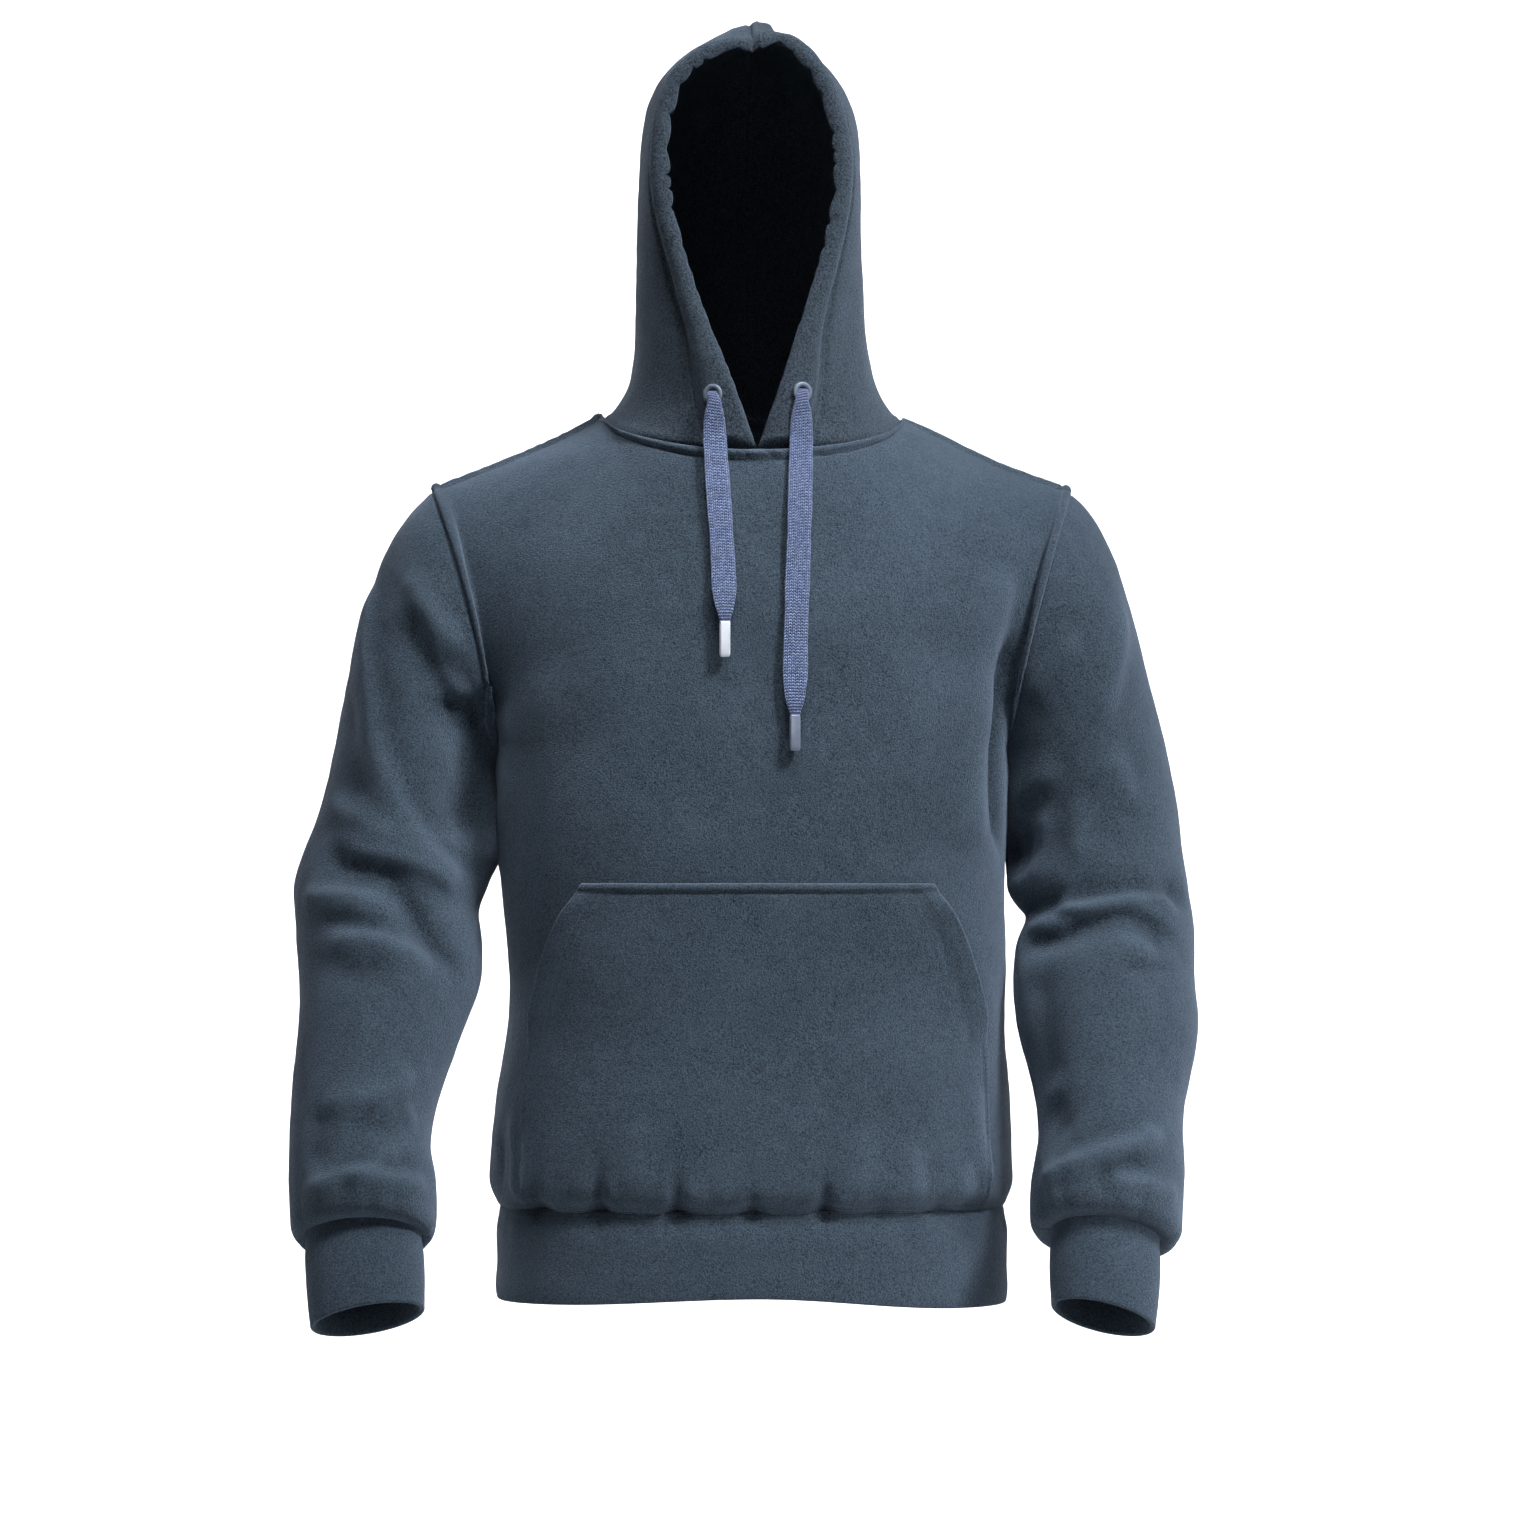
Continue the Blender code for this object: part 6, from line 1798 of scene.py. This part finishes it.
EYELET_CENTRES = {"right": (-0.03314, -0.09851, 0.00711), "left": (0.03377, -0.09847, 0.00912)}
EYELET_FACING = np.array([0.3781, -0.9253, -0.0301])
EYELET_PROUD = 0.0012
FLANGE = [(0.0061 + 0.0018 * math.cos(a), 0.0011 * max(math.sin(a), -0.5))
          for a in np.linspace(0, 2 * math.pi, 18, endpoint=False)]
BARREL = [(0.0046, 0.0004), (0.0046, -0.0034), (0.0042, -0.0034), (0.0042, 0.0004)]
eyelets = {}
for cord in CORDS:
    facing_out = EYELET_FACING * np.array([cord.side, 1.0, 1.0])
    centre = np.array(EYELET_CENTRES[cord.name])
    hit = surface_hit(cloths["hood_" + cord.name], centre + facing_out * 0.02, -facing_out)
    print("eyelet", cord.name, "is", round(float((hit - centre) @ facing_out) * 1000, 2),
          "mm above its seat in the packed model")
    for key, part, outline in (("eyelet_", "ring_", FLANGE), ("barrel_", "barrel_", BARREL)):
        eyelets[key + cord.name] = turned_ring("eyelet_" + part + cord.name,
                                               hit + facing_out * EYELET_PROUD, facing_out,
                                               outline, 40, PAINTED)


# %% Tips
def cord_tip(cord):
    """A flattened metal tube with bevelled corners, closed by a chamfered foot."""
    head = np.array(cord.route[-1]) - np.array([0.0, 0.0, 0.0003])
    wide, deep = 0.0041, 0.0029
    corner = 0.0011
    outline = np.array([(wide, deep - corner), (wide - corner, deep), (corner - wide, deep),
                        (-wide, deep - corner), (-wide, corner - deep), (corner - wide, -deep),
                        (wide - corner, -deep), (wide, corner - deep)])
    levels = [(0.0000, 0.80), (0.0004, 0.94), (0.0012, 1.00), (0.0242, 1.00), (0.0256, 0.93),
              (0.0268, 0.76), (0.0270, 0.72)]
    points = [head + np.array([x * size, y * size, -down])
              for down, size in levels for x, y in outline]
    faces = []
    for k in range(len(levels) - 1):
        for s in range(8):
            t = (s + 1) % 8
            faces.append((k * 8 + s, k * 8 + t, (k + 1) * 8 + t, (k + 1) * 8 + s))
    faces.append(tuple(range(8))[::-1])
    faces.append(tuple(range((len(levels) - 1) * 8, len(levels) * 8)))
    made = new_object("cord_tip_" + cord.name, points, faces)
    bevel = made.modifiers.new("soft_corners", "BEVEL")
    bevel.width = 0.00035
    bevel.segments = 2
    bevel.limit_method = "ANGLE"
    bevel.angle_limit = math.radians(25)
    made.data.materials.append(TIP_METAL[cord.name])
    return made


tips = {"tip_" + cord.name: cord_tip(cord) for cord in CORDS}

# %% [markdown]
# ## Which piece stands for which part of the imported model
# Every piece rides on the one rigid body and replaces its plain solid, which is hidden. The width
# each panel is cut to is worked out, but nothing is done with it.

# %% Attach the pieces and hide the plain solids
for name, cloth in cloths.items():
    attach(cloth, "root")
    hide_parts(name + "_panel" if name in ("front", "back") else name)
for piece in stitches.values():
    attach(piece, "root")
for name, piece in {**eyelets, **tips}.items():
    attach(piece, "root")
    if not name.startswith("barrel"):
        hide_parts(name)

for panel in panels:
    wide = float(panel.left[:, -1].max())
    if panel.closed:
        wide *= panel.points.shape[1] / (panel.points.shape[1] - 1)

for cord in CORDS:
    core, middle = cords[cord.name]
    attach(core, "root")
    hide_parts("drawcord_" + cord.name)

# %% [markdown]
# ## Floor, backdrop and lights
# A pale floor sweeps up into the backdrop without a corner. The key light stands in front, high
# on the wearer's left, so that each fold shades its lower flank. A weak fill in front and one at
# the wearer's right keep the shadows open, a narrow light from above draws the upper chest, and
# a low one lifts the wearer's left forearm. Two more wash the backdrop alone.


# %% Stage
def sweep_stage():
    """Floor and backdrop in one curved sheet."""
    outline = [(-7.0, 0.0), (2.2, 0.0)]
    outline += [(2.2 + 1.6 * math.sin(a), 1.6 - 1.6 * math.cos(a))
                for a in np.linspace(0.05, math.pi / 2, 24)]
    outline.append((3.8, 7.0))
    points = [(x, y, z - 1.02) for x in (-7.0, 7.0) for y, z in outline]
    count = len(outline)
    faces = [(k, k + count, k + 1 + count, k + 1) for k in range(count - 1)]
    return new_object("floor_sweep", points, faces)


floor = sweep_stage()
paper, tree, shader = new_material("pale_paper")
shader.inputs["Base Color"].default_value = (0.90, 0.90, 0.90, 1.0)
shader.inputs["Roughness"].default_value = 0.9
floor.data.materials.append(paper)


def soft_light(name, place, target, size, power, spread=180.0, colour=(1.0, 1.0, 1.0)):
    """A square area light that looks at a target, with a grid that narrows its spread."""
    data = bpy.data.lights.new(name, "AREA")
    data.spread = math.radians(spread)
    data.shape = "RECTANGLE"
    data.size, data.size_y = size
    data.energy = power
    data.color = colour
    made = add_object(name, data)
    made.location = place
    made.rotation_euler = (Vector(target) - Vector(place)).to_track_quat("-Z", "Y").to_euler()
    return made


soft_light("key", (1.5, -1.4, 2.0), (0.0, 0.0, -0.15), (0.6, 0.6), 22.0, 70.0, (0.95, 0.98, 1.0))
soft_light("front", (-0.2, -3.1, 0.3), (0.0, 0.0, -0.25), (0.9, 0.9), 0.55, 60.0)
soft_light("left", (-2.3, -0.9, 0.9), (-0.2, 0.0, -0.2), (0.6, 1.4), 0.19, 90.0)
soft_light("overhead", (-0.05, -0.85, 1.8), (-0.07, -0.1, -0.07), (0.5, 0.5), 0.95, 22.0)
soft_light("low_right", (1.7, -1.5, -0.1), (0.31, -0.1, -0.66), (0.4, 0.4), 0.56, 20.0)
for side in (-1, 1):
    soft_light("backdrop_wash", (side * 1.9, 1.3, 0.6), (side * 0.6, 4.0, 0.1), (0.8, 2.0), 120.0)
world = bpy.data.worlds.new("studio")
world.use_nodes = True
background = world.node_tree.nodes["Background"]
background.inputs["Color"].default_value = (1.0, 1.0, 1.0, 1.0)
background.inputs["Strength"].default_value = 0.035
bpy.context.scene.world = world
bpy.context.scene.view_settings.view_transform = "Standard"
